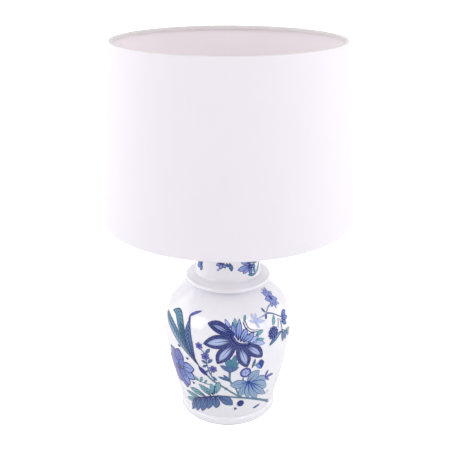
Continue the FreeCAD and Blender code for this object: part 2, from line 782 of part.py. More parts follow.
def shade():
    shade_layer("shade_fabric", ZERO, d["fabric_thick"])
    shade_layer("shade_liner", d["fabric_thick"], d["liner_thick"])
    wire_ring("top_wire_ring", True)
    bottom_wire = wire_ring("bottom_wire_ring", False)
    hub = sleeve("carrier_ring", d["skirt_r"] + d["hub_gap"], d["hub_r"], HUB_LOW, HUB_TOP)
    keep(hub, "carrier_ring")
    arms = arms_blank()
    doc.recompute()
    keep(cut("carrier_arms", arms, [hub, bottom_wire]), "carrier_arms")
    keep(hem("top_hem", True), "top_hem")
    keep(cut("bottom_hem", hem("bottom_hem_blank", False), [arms]), "bottom_hem")


def shade_ring():
    """The ring nut over the shade's carrier, with finger notches round its flange."""
    low = HUB_TOP + d["play"]
    bore = d["skirt_r"] + d["play"]
    hub_r = bore + d["ring_wall"]
    flange_r = hub_r + d["ring_wall"]
    flange_top = low + d["ring_flange"]
    outline = [
        (bore, low),
        (flange_r, low),
        (flange_r, flange_top),
        (hub_r, flange_top),
        (hub_r, low + d["ring_tall"]),
        (bore, low + d["ring_tall"]),
    ]
    body = turned("shade_ring", outline)
    notch = new_sketch(body, "XY_Plane", "notch_outline", lift=low - 1)
    add_circle(notch, flange_r + d["ring_notch_r"] / 2, ZERO, d["ring_notch_r"])
    pocket = body.newObject("PartDesign::Pocket", "notch")
    pocket.Profile = notch
    pocket.Reversed = True
    pocket.Length = (d["ring_flange"] + 1).value
    pocket.setExpression("Length", (d["ring_flange"] + 1).text)
    doc.recompute()
    turns = body.newObject("PartDesign::PolarPattern", "notches")
    turns.Originals = [pocket]
    turns.Axis = (origin_axis(body, "Z_Axis"), [""])
    turns.Angle = 360
    turns.Occurrences = 12
    body.Tip = turns
    keep(body, "shade_ring")


# ---------------------------------------------------------------- bulb
GLASS_Z = d["tip_z"] + d["tip_tall"]
CAP_Z = GLASS_Z + d["glass_tall"]
CAP_TOP = CAP_Z + d["cap_tall"]
GLOBE_Z = d["bulb_top_z"] - d["bulb_r"]
CAP_ROOT = d["lamp_thread_r"] - d["lamp_thread_deep"]


def flare_r():
    below = GLOBE_Z - d["flare_z"]
    return root(d["bulb_r"] * d["bulb_r"] - below * below)


def bulb_cap():
    """Tip, black insulator and threaded cap, from the bottom up."""
    tip = [
        (ZERO, d["tip_z"]),
        (d["tip_r"] / 2, d["tip_z"]),
        (d["tip_r"], d["tip_z"] + d["tip_tall"] / 2),
        (d["tip_r"], GLASS_Z),
        (ZERO, GLASS_Z),
    ]
    keep(turned("bulb_contact", tip), "bulb_contact")
    glass = [(ZERO, GLASS_Z), (d["tip_r"] * 1.2, GLASS_Z), (d["glass_r"], CAP_Z), (ZERO, CAP_Z)]
    keep(turned("bulb_insulator", glass), "bulb_insulator")
    skin = d["cap_thick"]
    start = CAP_Z + d["lamp_pitch"] / 2
    count = int((CAP_TOP - start).value / d["lamp_pitch"].value)
    outer = ridges(CAP_ROOT, d["lamp_thread_r"], start, d["lamp_pitch"], count) + [(CAP_ROOT, CAP_TOP)]
    inner = [(radius - skin, z) for radius, z in outer]
    lip = d["glass_r"] - skin * 3
    outline = [(lip, CAP_Z), (d["glass_r"], CAP_Z), *outer, *inner[::-1], (lip, CAP_Z + skin)]
    keep(turned("bulb_cap", outline), "bulb_cap")


def bulb_housing():
    wall = d["bulb_wall"]
    plug_r = CAP_ROOT - d["cap_thick"] - d["rest_gap"]
    neck_top = CAP_TOP + d["bulb_neck_tall"]
    flange_z = d["flare_z"] - wall
    outline = [
        (plug_r - wall, CAP_TOP - wall * 2),
        (plug_r, CAP_TOP - wall * 2),
        (plug_r, CAP_TOP),
        (d["bulb_neck_r"], CAP_TOP),
        (d["bulb_neck_r"], neck_top),
        Bend(d["flare_arc_r"], -1),
        (flare_r(), d["flare_z"]),
        (flare_r() - d["board_flange"], d["flare_z"]),
        (flare_r() - d["board_flange"], flange_z),
        (flare_r() - wall * 1.5, flange_z),
        Bend(d["flare_arc_r"], 1),
        (plug_r - wall, neck_top),
    ]
    keep(turned("bulb_housing", outline), "bulb_housing")


def globe(label, radius):
    """A ball on the bulb's globe centre."""
    ball = doc.addObject("Part::Sphere", label)
    ball.Radius = radius.value
    ball.setExpression("Radius", radius.text)
    place(ball, (ZERO, ZERO, GLOBE_Z))
    return ball


def bulb_top():
    """The board on the housing's flange, and the hollow globe over it, cut off flat at the housing."""
    board_r = flare_r() - d["globe_wall"] - d["board_gap"]
    board_top = d["flare_z"] + d["board_thick"]
    keep(sleeve("led_board", ZERO, board_r, d["flare_z"], board_top), "led_board")
    ball = globe("globe_outside", d["bulb_r"])
    below = angle_of(GLOBE_Z - d["flare_z"], flare_r())
    ball.Angle1 = -below.value
    ball.setExpression("Angle1", (-below).text)
    hollow = globe("globe_inside", d["bulb_r"] - d["globe_wall"])
    keep(cut("bulb_dome", ball, [hollow]), "bulb_dome")


def check_and_save():
    """Stops on any broken feature or shape, then writes one STEP file per sub-part."""
    doc.recompute()
    for thing in doc.Objects:
        bad = [word for word in thing.State if word in ("Invalid", "Error")]
        if bad:
            raise RuntimeError(f"{thing.Label} is {bad}")
    os.makedirs("parts", exist_ok=True)
    for node in nodes:
        shape = node.Shape
        if shape.isNull() or not shape.isValid():
            raise RuntimeError(f"{node.Label} has no valid shape")
        shape.exportStep(f"parts/{node.Label}.step")
        print(f"{node.Label:20s} {len(shape.Solids)} solid(s) {shape.Volume / 1000:9.3f} cm3")


felt_pad()
jar_and_bush()
jar_lid()
clamp()
lid_plate()
stem_tube()
holder_cap()
holder_grub_screw()
contact_block()
terminal_screws()
contacts()
screw_shell()
holder_skirt()
shade()
shade_ring()
bulb_cap()
bulb_housing()
bulb_top()
check_and_save()
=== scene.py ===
"""Table lamp with a printed ginger-jar base and a tapered drum shade.

The CAD nodes carry the shape. This script adds the printed flowers and the shade's back seam, then the
finishes, the light and the camera. Lengths are metres unless a name ends in _mm, or the words beside a value
say mm; the lamp's axis is the Z axis and its front faces -Y.
"""
import math
import bpy
import numpy as np
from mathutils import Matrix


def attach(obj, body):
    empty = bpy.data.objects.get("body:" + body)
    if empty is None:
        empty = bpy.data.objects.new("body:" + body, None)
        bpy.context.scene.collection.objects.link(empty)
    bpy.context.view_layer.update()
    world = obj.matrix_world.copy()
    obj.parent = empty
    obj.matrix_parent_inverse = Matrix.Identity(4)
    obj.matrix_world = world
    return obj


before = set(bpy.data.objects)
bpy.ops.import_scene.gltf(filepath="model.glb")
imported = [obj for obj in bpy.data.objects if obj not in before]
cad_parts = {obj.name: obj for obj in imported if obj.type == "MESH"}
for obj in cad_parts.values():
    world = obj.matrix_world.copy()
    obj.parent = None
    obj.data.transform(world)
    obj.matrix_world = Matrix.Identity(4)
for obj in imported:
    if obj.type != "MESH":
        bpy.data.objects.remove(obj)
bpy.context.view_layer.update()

MM = 0.001
TAU = 2 * math.pi


# ---------------------------------------------------------------- surfaces
def unit(vectors):
    """Rows scaled to length one."""
    return vectors / np.maximum(np.linalg.norm(vectors, axis=-1, keepdims=True), 1e-12)


def grid_faces(rows, cols, start=0):
    """Quads of a rows x cols grid of points, counted row by row from start."""
    i, j = np.meshgrid(np.arange(rows - 1), np.arange(cols - 1), indexing="ij")
    corner = i * cols + j
    quads = np.stack([corner, corner + 1, corner + cols + 1, corner + cols], axis=-1)
    return quads.reshape(-1, 4) + start


def make_mesh(name, points, faces):
    """A smooth mesh from an array of points and an array of quads."""
    mesh = bpy.data.meshes.new(name)
    mesh.from_pydata(points.tolist(), [], faces.tolist())
    mesh.polygons.foreach_set("use_smooth", np.full(len(mesh.polygons), True))
    mesh.update()
    return mesh


def place_in_scene(name, data):
    """An object for a mesh, a light or a camera, linked to the scene."""
    item = bpy.data.objects.new(name, data)
    bpy.context.scene.collection.objects.link(item)
    return item


def add_piece(name, mesh, body, finish):
    """An object for the mesh, riding on a body, with a finish for its material slot."""
    mesh.materials.append(finish)
    piece = place_in_scene(name, mesh)
    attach(piece, body)


# ---------------------------------------------------------------- finishes
def new_material(name, roughness, **sockets):
    """A Principled material; extra keyword values go on the shader's own sockets."""
    material = bpy.data.materials.new(name)
    material.use_nodes = True
    shader = material.node_tree.nodes["Principled BSDF"]
    shader.inputs["Roughness"].default_value = roughness
    for socket, value in sockets.items():
        shader.inputs[socket.replace("_", " ")].default_value = value
    return material, material.node_tree, shader


def add_node(tree, kind, inputs=None, **settings):
    """A node with its settings; an input is given a value, or linked when it is another node's output."""
    node = tree.nodes.new(kind)
    for key, value in settings.items():
        setattr(node, key, value)
    for key, value in (inputs or {}).items():
        if isinstance(value, bpy.types.NodeSocket):
            tree.links.new(value, node.inputs[key])
        else:
            node.inputs[key].default_value = value
    return node


def maths(tree, operation, first, second=0.0, clamp=False):
    """The result of one sum on values or outputs, kept within 0 and 1 if clamp is set."""
    inputs = {0: first, 1: second}
    return add_node(tree, "ShaderNodeMath", inputs, operation=operation, use_clamp=clamp).outputs[0]


def mix_colour(tree, factor, first, second):
    """The first colour where the factor is 0 and the second where it is 1."""
    node = add_node(tree, "ShaderNodeMix", {0: factor, 6: first, 7: second}, data_type="RGBA")
    return node.outputs[2]


def step_up(tree, value, start, end):
    """Zero up to start, one from end, and smooth between; start may be above end."""
    inputs = {0: value, 1: start, 2: end}
    return add_node(tree, "ShaderNodeMapRange", inputs, interpolation_type="SMOOTHSTEP").outputs[0]


def noise(tree, place, scale, detail):
    """Soft noise from 0 to 1 at a place, finer as scale rises."""
    inputs = {"Vector": place, "Scale": scale, "Detail": detail}
    return add_node(tree, "ShaderNodeTexNoise", inputs).outputs[0]


def split(tree, vector):
    """The three parts of a vector."""
    return add_node(tree, "ShaderNodeSeparateXYZ", {0: vector}).outputs


def make_group(name, sockets_in, sockets_out, build):
    """A shader node group: sockets are (name, kind, default), and build fills it in."""
    group = bpy.data.node_groups.new(name, "ShaderNodeTree")
    for label, kind, value in sockets_in:
        socket = group.interface.new_socket(label, in_out="INPUT", socket_type=kind)
        if value is not None:
            socket.default_value = value
    for label, kind in sockets_out:
        group.interface.new_socket(label, in_out="OUTPUT", socket_type=kind)
    start, end = group.nodes.new("NodeGroupInput"), group.nodes.new("NodeGroupOutput")
    build(group, start.outputs, end.inputs)
    return group


FLOAT, COLOR, VECTOR = "NodeSocketFloat", "NodeSocketColor", "NodeSocketVector"


def build_mottle(tree, given, result):
    """Broad noise with finer noise over it: the colour drifts by the amount given, and a height for bump."""
    broad = noise(tree, given["Place"], given["Scale"], 3.0)
    fine = noise(tree, given["Place"], maths(tree, "MULTIPLY", given["Scale"], 7.3), 2.0)
    height = maths(tree, "ADD", maths(tree, "MULTIPLY", broad, 0.65), maths(tree, "MULTIPLY", fine, 0.35))
    amount = maths(tree, "MULTIPLY", given["Amount"], 3.0)
    factor = maths(tree, "MULTIPLY", maths(tree, "SUBTRACT", height, 0.35), amount, clamp=True)
    tree.links.new(mix_colour(tree, factor, given["Color"], given["Other"]), result["Color"])
    tree.links.new(height, result["Height"])


MOTTLE = make_group(
    "mottle",
    [
        ("Place", VECTOR, None), ("Scale", FLOAT, 40.0), ("Amount", FLOAT, 0.5),
        ("Color", COLOR, (1, 1, 1, 1)), ("Other", COLOR, (0, 0, 0, 1)),
    ],
    [("Color", COLOR), ("Height", FLOAT)],
    build_mottle,
)


def build_weave(tree, given, result):
    """Plain weave from a place in millimetres: warp and weft threads cross over and under by turns. The
    colour is darkened towards a second tone where the weave is low, as painted shade in the dips between
    threads.
    """
    places = split(tree, given["Place mm"])
    across, along = (maths(tree, "MULTIPLY", place, given["Threads per mm"]) for place in places[:2])
    wave_x, wave_y = (
        maths(tree, "ABSOLUTE", maths(tree, "SINE", maths(tree, "MULTIPLY", thread, math.pi)))
        for thread in (across, along)
    )
    parity = maths(tree, "ADD", maths(tree, "FLOOR", across), maths(tree, "FLOOR", along))
    over = maths(tree, "PINGPONG", parity, 1.0)
    height = add_node(tree, "ShaderNodeMix", {0: over, 2: wave_x, 3: wave_y}, data_type="FLOAT").outputs[0]
    slub = noise(tree, given["Place mm"], 0.35, 4.0)
    tree.links.new(maths(tree, "ADD", height, maths(tree, "MULTIPLY", slub, 0.8)), result["Height"])
    # painted shade: the colour goes towards the second tone where the threads dip, as far as Depth allows
    shade = maths(tree, "MULTIPLY", maths(tree, "SUBTRACT", 1.0, height), given["Depth"], clamp=True)
    tree.links.new(mix_colour(tree, shade, given["Color"], given["Gap"]), result["Color"])


WEAVE = make_group(
    "plain_weave",
    [
        ("Place mm", VECTOR, None), ("Threads per mm", FLOAT, 2.0), ("Depth", FLOAT, 0.3),
        # the second colour is painted shade in the gaps between threads
        ("Color", COLOR, (1, 1, 1, 1)), ("Gap", COLOR, (0.6, 0.6, 0.6, 1)),
    ],
    [("Color", COLOR), ("Height", FLOAT)],
    build_weave,
)


def place_group(tree, group, **inputs):
    """A node group in a material, with its inputs set or linked; an underscore stands for a space."""
    node = tree.nodes.new("ShaderNodeGroup")
    node.node_tree = group
    for key, value in inputs.items():
        socket = node.inputs[key.replace("_", " ")]
        if isinstance(value, bpy.types.NodeSocket):
            tree.links.new(value, socket)
        else:
            socket.default_value = value
    return node


# ---------------------------------------------------------------- the jar's side
def arc(start, end, radius, steps):
    """Points on the round arc from start to end, with its centre to the left of the line between them.

    The centre is half the chord along and sqrt(radius^2 - half chord^2) to the left; start is left out."""
    start, end = np.array(start, float), np.array(end, float)
    chord = end - start
    half = np.linalg.norm(chord) / 2
    side = np.array([-chord[1], chord[0]]) / (2 * half)
    centre = (start + end) / 2 + side * math.sqrt(max(radius**2 - half**2, 0.0))
    first, last = (math.atan2(*(point - centre)[::-1]) for point in (start, end))
    turn = (last - first + math.pi) % TAU - math.pi
    angles = first + turn * np.linspace(0, 1, steps + 1)[1:]
    return centre + radius * np.stack([np.cos(angles), np.sin(angles)], axis=-1)


def straight(start, end, steps):
    """Points on the straight run from start to end, without start."""
    t = np.linspace(0, 1, steps + 1)[1:, None]
    return np.array(start) * (1 - t) + np.array(end) * t


# The jar's side, in millimetres: a belly arc, a longer arc down to the waist, and two arcs up to the lid.
BELLY_R_MM, BELLY_Z_MM = 94.0, 148.8
FLANK_ARC_MM, FLANK_TURN = 237.0, math.radians(8.37)
SIDE_ARC_MM = 683.4
SHOULDER_ARC_MM, SHOULDER_TURN = 45.7, math.radians(44.6)
WAIST = np.array([68.5, 12.5])
FOOT_R_MM, FOOT_TOP_MM, FOOT_EDGE_MM = 71.2, 8.5, 1.2
PAD_MM = 1.5
MOUTH_EDGE = np.array([50.0, 207.2])
NECK_R_MM, NECK_LOW_MM, NECK_TOP_MM = 46.4, 224.0, 252.0


def belly_point(radius, turn):
    """The point where the arc through the belly has turned by turn, up when it is positive."""
    return np.array([BELLY_R_MM - radius + radius * math.cos(turn), BELLY_Z_MM + radius * math.sin(turn)])


def tangent_radius(start, end, heading):
    """Radius of the arc that leaves start along heading and reaches end.

    It is the chord squared over twice the chord's part square to the heading."""
    chord = end - start
    sideways = chord @ np.array([-math.sin(heading), math.cos(heading)])
    return abs(chord @ chord / (2 * sideways))


def jar_profile():
    """The jar's outer face from the foot's bevel up to under the brim."""
    flank, shoulder = belly_point(FLANK_ARC_MM, -FLANK_TURN), belly_point(SHOULDER_ARC_MM, SHOULDER_TURN)
    foot_low = np.array([FOOT_R_MM, PAD_MM + FOOT_EDGE_MM])
    foot_high = np.array([FOOT_R_MM, FOOT_TOP_MM])
    belly = np.array([BELLY_R_MM, BELLY_Z_MM])
    start = np.array([FOOT_R_MM - FOOT_EDGE_MM, PAD_MM])
    runs = [
        start[None],
        arc(start, foot_low, FOOT_EDGE_MM, 6),
        straight(foot_low, foot_high, 4),
        arc(foot_high, WAIST, tangent_radius(foot_high, WAIST, math.pi / 2), 10),
        arc(WAIST, flank, SIDE_ARC_MM, 60),
        arc(flank, belly, FLANK_ARC_MM, 22),
        arc(belly, shoulder, SHOULDER_ARC_MM, 24),
        arc(shoulder, MOUTH_EDGE, tangent_radius(shoulder, MOUTH_EDGE, math.pi / 2 + SHOULDER_TURN), 24),
    ]
    return np.concatenate(runs)


JAR_PROFILE = jar_profile()


# ---------------------------------------------------------------- printed flowers
def srgb(red, green, blue):
    """A colour of 0 to 255 screen values as linear RGBA."""
    values = np.array([red, green, blue]) / 255
    linear = np.where(values <= 0.04045, values / 12.92, ((values + 0.055) / 1.055) ** 2.4)
    return (*linear.tolist(), 1.0)


INK = {
    "navy": srgb(10, 26, 104), "night": srgb(16, 27, 108), "blue": srgb(38, 74, 160),
    "sky": srgb(92, 130, 206), "pale": srgb(146, 166, 224), "ice": srgb(184, 198, 236),
    "violet": srgb(54, 52, 138), "lilac": srgb(118, 120, 192), "mist": srgb(176, 178, 214),
    "teal": srgb(48, 100, 132), "sea": srgb(88, 142, 170), "mint": srgb(130, 180, 190),
    "slate": srgb(52, 78, 128), "steel": srgb(92, 122, 168), "fog": srgb(104, 130, 146),
    "pine": srgb(26, 58, 92), "stem": srgb(92, 130, 152), "white": srgb(226, 226, 244),
    "haze": srgb(150, 176, 198),
}
LAYER_MM, STEP_MM = 0.12, 0.015  # how far the first strip of ink stands off the glaze, and each layer more
JAR_MM_PER_DEGREE, NECK_MM_PER_DEGREE = 1.64, 0.81  # round the belly and round the neck
LEAF_WIDEST, LEAF_ROOT = 0.55, 0.12  # how far along a leaf is widest; the share of its width kept at the base
POINT_MM = 0.05  # half width left at a leaf's tip
PER_RUN = 8


class Drawing:
    """A print on a turned surface, collected as strips of points with their ink values, sorted by kind.

    A place is (degrees round from the front, height in mm). Round the surface, one degree counts as
    mm_per_degree."""

    def __init__(self, name, profile, mm_per_degree):
        self.name, self.profile, self.scale = name, profile, mm_per_degree
        self.kinds, self.kind, self.layer = {}, "stems", 0

    def start(self, kind, layer):
        """The next strips are of this kind, and lie this many layers up."""
        self.kind, self.layer = kind, layer

    def flat(self, place):
        """A place as flat coordinates in mm."""
        return np.array([place[0] * self.scale, place[1]], float)

    def strip(self, flat, edge, along, across, reach, look):
        """Adds a grid of flat points; edge is the distance in from the outline, all lengths in mm."""
        strips = self.kinds.setdefault(self.kind, {"points": [], "faces": [], "values": [], "count": 0})
        rows, cols = edge.shape
        values = np.stack([edge, along, across, reach], axis=-1).reshape(-1, 4)
        strips["values"].append(np.concatenate([values, np.tile(look, (rows * cols, 1))], axis=1))
        lift = np.full((rows * cols, 1), LAYER_MM + STEP_MM * self.layer)
        strips["points"].append(np.concatenate([flat.reshape(-1, 2), lift], axis=1))
        strips["faces"].append(grid_faces(rows, cols, start=strips["count"]))
        strips["count"] += rows * cols
        self.layer += 1

    def placed(self, strips, turn_degrees):
        """The flat points on the surface: the profile's radius at that height, plus the print's thickness."""
        flat = np.concatenate(strips["points"])
        angle = np.radians(flat[:, 0] / self.scale + turn_degrees)
        radius = np.interp(flat[:, 1], self.profile[:, 1], self.profile[:, 0]) + flat[:, 2]
        return np.stack([radius * np.sin(angle), -radius * np.cos(angle), flat[:, 1]], axis=-1) * MM


def look_of(dark, light, rim, dots, vein, hatch):
    """Ink values of a strip: two colours, rim width mm, dots 0-1, vein half width mm, hatch 0-1."""
    return np.array([*INK[dark][:3], *INK[light][:3], rim, dots, vein, hatch])


def bezier(first, control, last, steps):
    """A quadratic Bezier curve and its unit normals."""
    t = np.linspace(0, 1, steps)[:, None]
    line = first * (1 - t) ** 2 + 2 * control * t * (1 - t) + last * t**2
    slope = unit(2 * (control - first) * (1 - t) + 2 * (last - control) * t)
    return line, np.stack([-slope[:, 1], slope[:, 0]], axis=-1)


def leaf_shape(d, line, normal, width, root, look):
    """A leaf along a centre line: its half width is width times sin(pi t^p)^0.8, widest at LEAF_WIDEST,
    plus a share (root) of it that dies away from the base."""
    run = np.concatenate([[0], np.cumsum(np.linalg.norm(np.diff(line, axis=0), axis=1))])
    length = run[-1]
    t = run / length
    power = math.log(0.5) / math.log(LEAF_WIDEST)
    half = width * (np.sin(math.pi * t**power).clip(0) ** 0.8 + root * (1 - t) ** 3)
    half[-1] = POINT_MM
    s = np.linspace(1, -1, max(int(width / 0.9) * 2 + 1, 7))
    flat = line[:, None] + normal[:, None] * (half[:, None] * s[None])[..., None]
    edge = np.minimum((1 - np.abs(s))[None] * half[:, None], ((1 - t) * length)[:, None])
    grid = np.ones_like(edge)
    d.strip(flat, edge, grid * run[:, None], half[:, None] * s[None], grid * t[:, None], look)


def petal(d, base, tip, width, bend=0.0, root=LEAF_ROOT, inks=("navy", "pale"), rim=1.5, dots=0.0, vein=0.4,
          hatch=0.0):
    """A leaf or petal from base to tip, its centre line bowed to the left by bend times its length."""
    first, last = d.flat(base), d.flat(tip)
    chord = last - first
    control = (first + last) / 2 + np.array([-chord[1], chord[0]]) * bend
    line, normal = bezier(first, control, last, max(int(np.linalg.norm(chord) / 1.4), 9))
    leaf_shape(d, line, normal, width, root, look_of(*inks, rim, dots, vein, hatch))


def smooth_path(points):
    """A Catmull-Rom curve through the points, with PER_RUN steps between two, and its unit normals."""
    p = np.concatenate([2 * points[:1] - points[1:2], points, 2 * points[-1:] - points[-2:-1]])
    t = np.linspace(0, 1, PER_RUN, endpoint=False)[None, :, None]
    a, b, c, e = (p[k : len(p) - 3 + k, None] for k in range(4))
    line = 0.5 * (2 * b + (c - a) * t + (2 * a - 5 * b + 4 * c - e) * t**2 + (3 * b - a - 3 * c + e) * t**3)
    line = np.concatenate([line.reshape(-1, 2), points[-1:]])
    slope = unit(np.gradient(line, axis=0))
    return line, np.stack([-slope[:, 1], slope[:, 0]], axis=-1)


def frond(d, places, width, inks, rim, hatch, dots=0.0, vein=0.6):
    """A long leaf whose centre line runs through the places."""
    line, normal = smooth_path(np.array([d.flat(place) for place in places]))
    leaf_shape(d, line, normal, width, LEAF_ROOT, look_of(*inks, rim, dots, vein, hatch))


def stroke(d, places, start, end, inks, rim=0.35, dots=0.0, hatch=0.0):
    """A stem or line through the places, its half width going evenly from start to end."""
    line, normal = smooth_path(np.array([d.flat(place) for place in places]))
    t = np.linspace(0, 1, len(line))
    half = start + (end - start) * t
    s = np.linspace(1, -1, 5)
    flat = line[:, None] + normal[:, None] * (half[:, None] * s[None])[..., None]
    edge = (1 - np.abs(s))[None] * half[:, None]
    grid = np.ones_like(edge)
    run = np.concatenate([[0], np.cumsum(np.linalg.norm(np.diff(line, axis=0), axis=1))])
    look = look_of(*inks, rim, dots, 0.0, hatch)
    d.strip(flat, edge, grid * run[:, None], half[:, None] * s[None], grid * t[:, None], look)


def disc(d, centre, radius, inks, rim=1.0, dots=0.0):
    """A round spot: rings of points from the middle out, no more than 1 mm apart."""
    angle = np.linspace(0, TAU, 29)
    ring = np.linspace(0, 1, max(int(radius) + 2, 4))[:, None] * radius
    flat = d.flat(centre) + np.stack([ring * np.cos(angle), ring * np.sin(angle)], axis=-1)
    edge = radius - ring + 0 * angle
    look = look_of(*inks, rim, dots, 0.0, 0.0)
    d.strip(flat[:, ::-1], edge, angle * radius + 0 * ring, ring + 0 * angle, 0 * edge, look)


def around(d, centre, degrees, length):
    """The place at a distance and direction from a centre; 0 is to the right and 90 is up."""
    turn = math.radians(degrees)
    return (centre[0] + length * math.cos(turn) / d.scale, centre[1] + length * math.sin(turn))


def rosette(d, centre, radius, count, width, turn, core, inks, **look):
    """Petals set evenly round a centre, with a small disc over their roots."""
    for k in range(count):
        tip = around(d, centre, turn + 360 * k / count, radius)
        petal(d, centre, tip, width, inks=inks, **look)
    disc(d, centre, core, inks=(inks[0], inks[0]))


def petals(d, rows, **look):
    """Several petals of one look: each row is (base, tip, width) and, when it curls, a bend."""
    for row in rows:
        petal(d, *row, **look)


def strokes(d, rows, **look):
    """Several strokes of one look: each row is (places, first half width, last half width)."""
    for row in rows:
        stroke(d, *row, **look)


def discs(d, rows, **look):
    """Several round spots of one look: each row is (centre, radius)."""
    for centre, radius in rows:
        disc(d, centre, radius, **look)


def draw_stems(d):
    """The two main stems, their side shoots and joints, and the thin stalks of the small flowers."""
    d.start("stems", 0)
    strokes(d, [
        ([(-13, 84), (-8, 79), (-2, 72), (6, 62), (13, 54)], 1.5, 1.6),
        ([(-10, 57), (-2, 57), (10, 54), (22, 49), (34, 41), (47, 30), (56, 22)], 1.4, 2.4),
        ([(3, 84), (7, 74), (10, 62), (13.5, 54)], 1.3, 1.4),
        ([(1.5, 104), (1.5, 90), (3, 82)], 1.8, 1.5),
        ([(-29, 113), (-27, 108), (-26, 104)], 1.5, 1.1),
        ([(-19, 93), (-16, 88), (-13, 84)], 1.5, 1.9),
        ([(14, 91), (14, 84)], 1.2, 1.2),
        ([(24, 110), (28, 110)], 1.1, 0.9),
        ([(36, 81), (40, 81)], 1.2, 1.0),
        ([(-36, 81), (-28, 79), (-18, 77)], 0.9, 0.7),
    ], inks=("fog", "stem"), rim=0.4, hatch=0.5)
    discs(d, [((-2, 72), 2.6), ((13.2, 54), 2.6), ((-10, 57), 2.2)], inks=("fog", "stem"), rim=0.5)
    strokes(d, [
        ([(-24, 138), (-20, 130), (-19, 115), (-17, 100), (-14.5, 92), (-12, 86)], 0.8, 1.0),
        ([(-14, 106), (-15.5, 98), (-15, 92)], 0.7, 0.8),
        ([(41, 181), (46, 179), (50, 176), (57, 169)], 0.9, 0.8),
        ([(52, 170), (50.5, 165), (49, 158)], 0.8, 0.6),
        ([(54, 168), (54, 160), (54, 152)], 0.9, 0.8),
        ([(54, 152), (60, 146), (66, 142)], 0.7, 0.5),
        ([(44, 45), (47, 49), (49, 47), (48, 44)], 0.5, 0.3),
    ], inks=("slate", "sea"), rim=0.3)
    strokes(d, [
        ([(52, 187), (46, 185), (41, 181), (38, 180), (33, 179), (28, 178)], 0.8, 0.6),
    ], inks=("fog", "mist"), rim=0.3)


def draw_oak_leaf(d):
    """A long lobed leaf low on the left, and a broad vine leaf low on the right."""
    d.start("leaves", 4)
    petals(d, [
        ((-18, 55), (-30, 73), 5.5, -0.1), ((-24, 52), (-43, 58), 5.5, -0.08),
        ((-30, 46), (-51, 47), 4.6, 0.05), ((-36, 41), (-55, 30), 4.4, 0.08),
        ((-15, 57), (-22, 70), 3.2, -0.1),
    ], inks=("pine", "mint"), rim=0.6, vein=0.6, hatch=0.8)
    petals(d, [
        ((-11, 56), (5, 39), 8.4, 0.12), ((-13, 56), (-14, 31), 7.6, 0.05),
        ((-17, 55), (-24, 26), 7.6, -0.06), ((-22, 52), (-33, 17), 7.6, -0.08),
        ((-30, 47), (-42, 12.5), 6.6, -0.06), ((-37, 40), (-50, 11.5), 5.0, 0.04),
    ], inks=("night", "steel"), rim=0.8, vein=0.9, hatch=0.45)
    rib = [(-10, 57), (-25, 50), (-40, 38), (-50, 14)]
    stroke(d, rib, 1.6, 0.5, inks=("night", "navy"), rim=0.8, dots=0.6)
    petals(d, [
        ((19, 82), (2, 79), 8.0, 0.05), ((19, 80), (11, 57), 7.4, 0.06), ((20, 82), (41, 76), 8.0, 0.08),
        ((21, 80), (43, 59), 8.6, 0.05), ((19, 80), (30, 98.5), 9.0, 0.1), ((20, 81), (21, 50), 7.0, 0.0),
        ((21, 81), (32, 44), 7.6, -0.04), ((22, 80), (44, 46), 5.6, -0.1),
    ], inks=("blue", "haze"), rim=0.9, vein=1.1, hatch=0.3)
    disc(d, (20, 81), 2.4, inks=("navy", "slate"), rim=0.8)


def draw_small_leaves(d):
    """Small leaves along the stems: dark ones, pale ones, and a cupped pair at the foot of the left stem."""
    d.start("leaves", 10)
    petals(d, [
        ((1.5, 86), (-9.5, 94), 2.5, -0.1), ((1.5, 86), (-4.5, 98), 2.2, -0.1),
        ((-10, 87), (-14, 94), 1.8, 0.1), ((21.5, 106), (24, 122), 2.3, -0.1),
        ((40, 28), (30, 25), 2.5, 0.1), ((48, 28), (60, 17), 3.0, 0.1),
        ((-19.5, 131), (-15.5, 141), 2.6, 0.1),
        ((-18, 116), (-13.5, 124), 2.6, 0.1), ((-19, 115), (-24, 119), 2.4, -0.1),
        ((-19, 113), (-23.5, 108), 2.2, 0.1), ((-18, 104), (-21, 99), 1.8, 0.1),
        ((6, 33), (10, 30), 1.6, 0.1),
        ((9, 34), (7, 28), 1.4, 0.1), ((41, 182), (38, 188), 1.8, 0.1), ((41, 180), (37, 175), 1.8, -0.1),
        ((54, 150), (38, 136), 4.2, -0.14),
        ((54, 151), (57, 130), 3.4, 0.08), ((58, 148), (62, 130), 3.6, 0.1), ((62, 146), (69, 131), 3.6, 0.1),
    ], inks=("slate", "steel"), rim=0.5, vein=0.3, hatch=0.5)
    petals(d, [
        ((48, 176), (43, 165), 3.0, 0.1), ((52, 150), (44, 143), 2.4, -0.1),
        ((62, 146), (72, 141), 2.6, -0.1), ((-27, 79), (-25, 89), 2.4, 0.05),
        ((-29, 79), (-35, 86), 2.4, -0.1), ((-23, 78), (-20, 85), 1.8, 0.1),
        ((6.5, 172), (6.5, 183), 3.0, 0.0), ((15, 178), (18, 185), 2.0, 0.05),
        ((24, 158), (32, 164), 3.0, 0.1), ((24, 154), (32, 151), 2.5, -0.1),
    ], inks=("teal", "mint"), rim=0.5, vein=0.3, hatch=0.4)
    petals(d, [
        ((-14, 60), (-17, 80), 4.0, -0.05), ((-12, 62), (-8, 85), 5.0, 0.06),
    ], inks=("teal", "mint"), rim=0.5, vein=0.4, hatch=0.4)
    stroke(d, [(-11.5, 77), (-13.5, 70), (-14, 60)], 0.6, 1.2, inks=("navy", "blue"), rim=0.5)


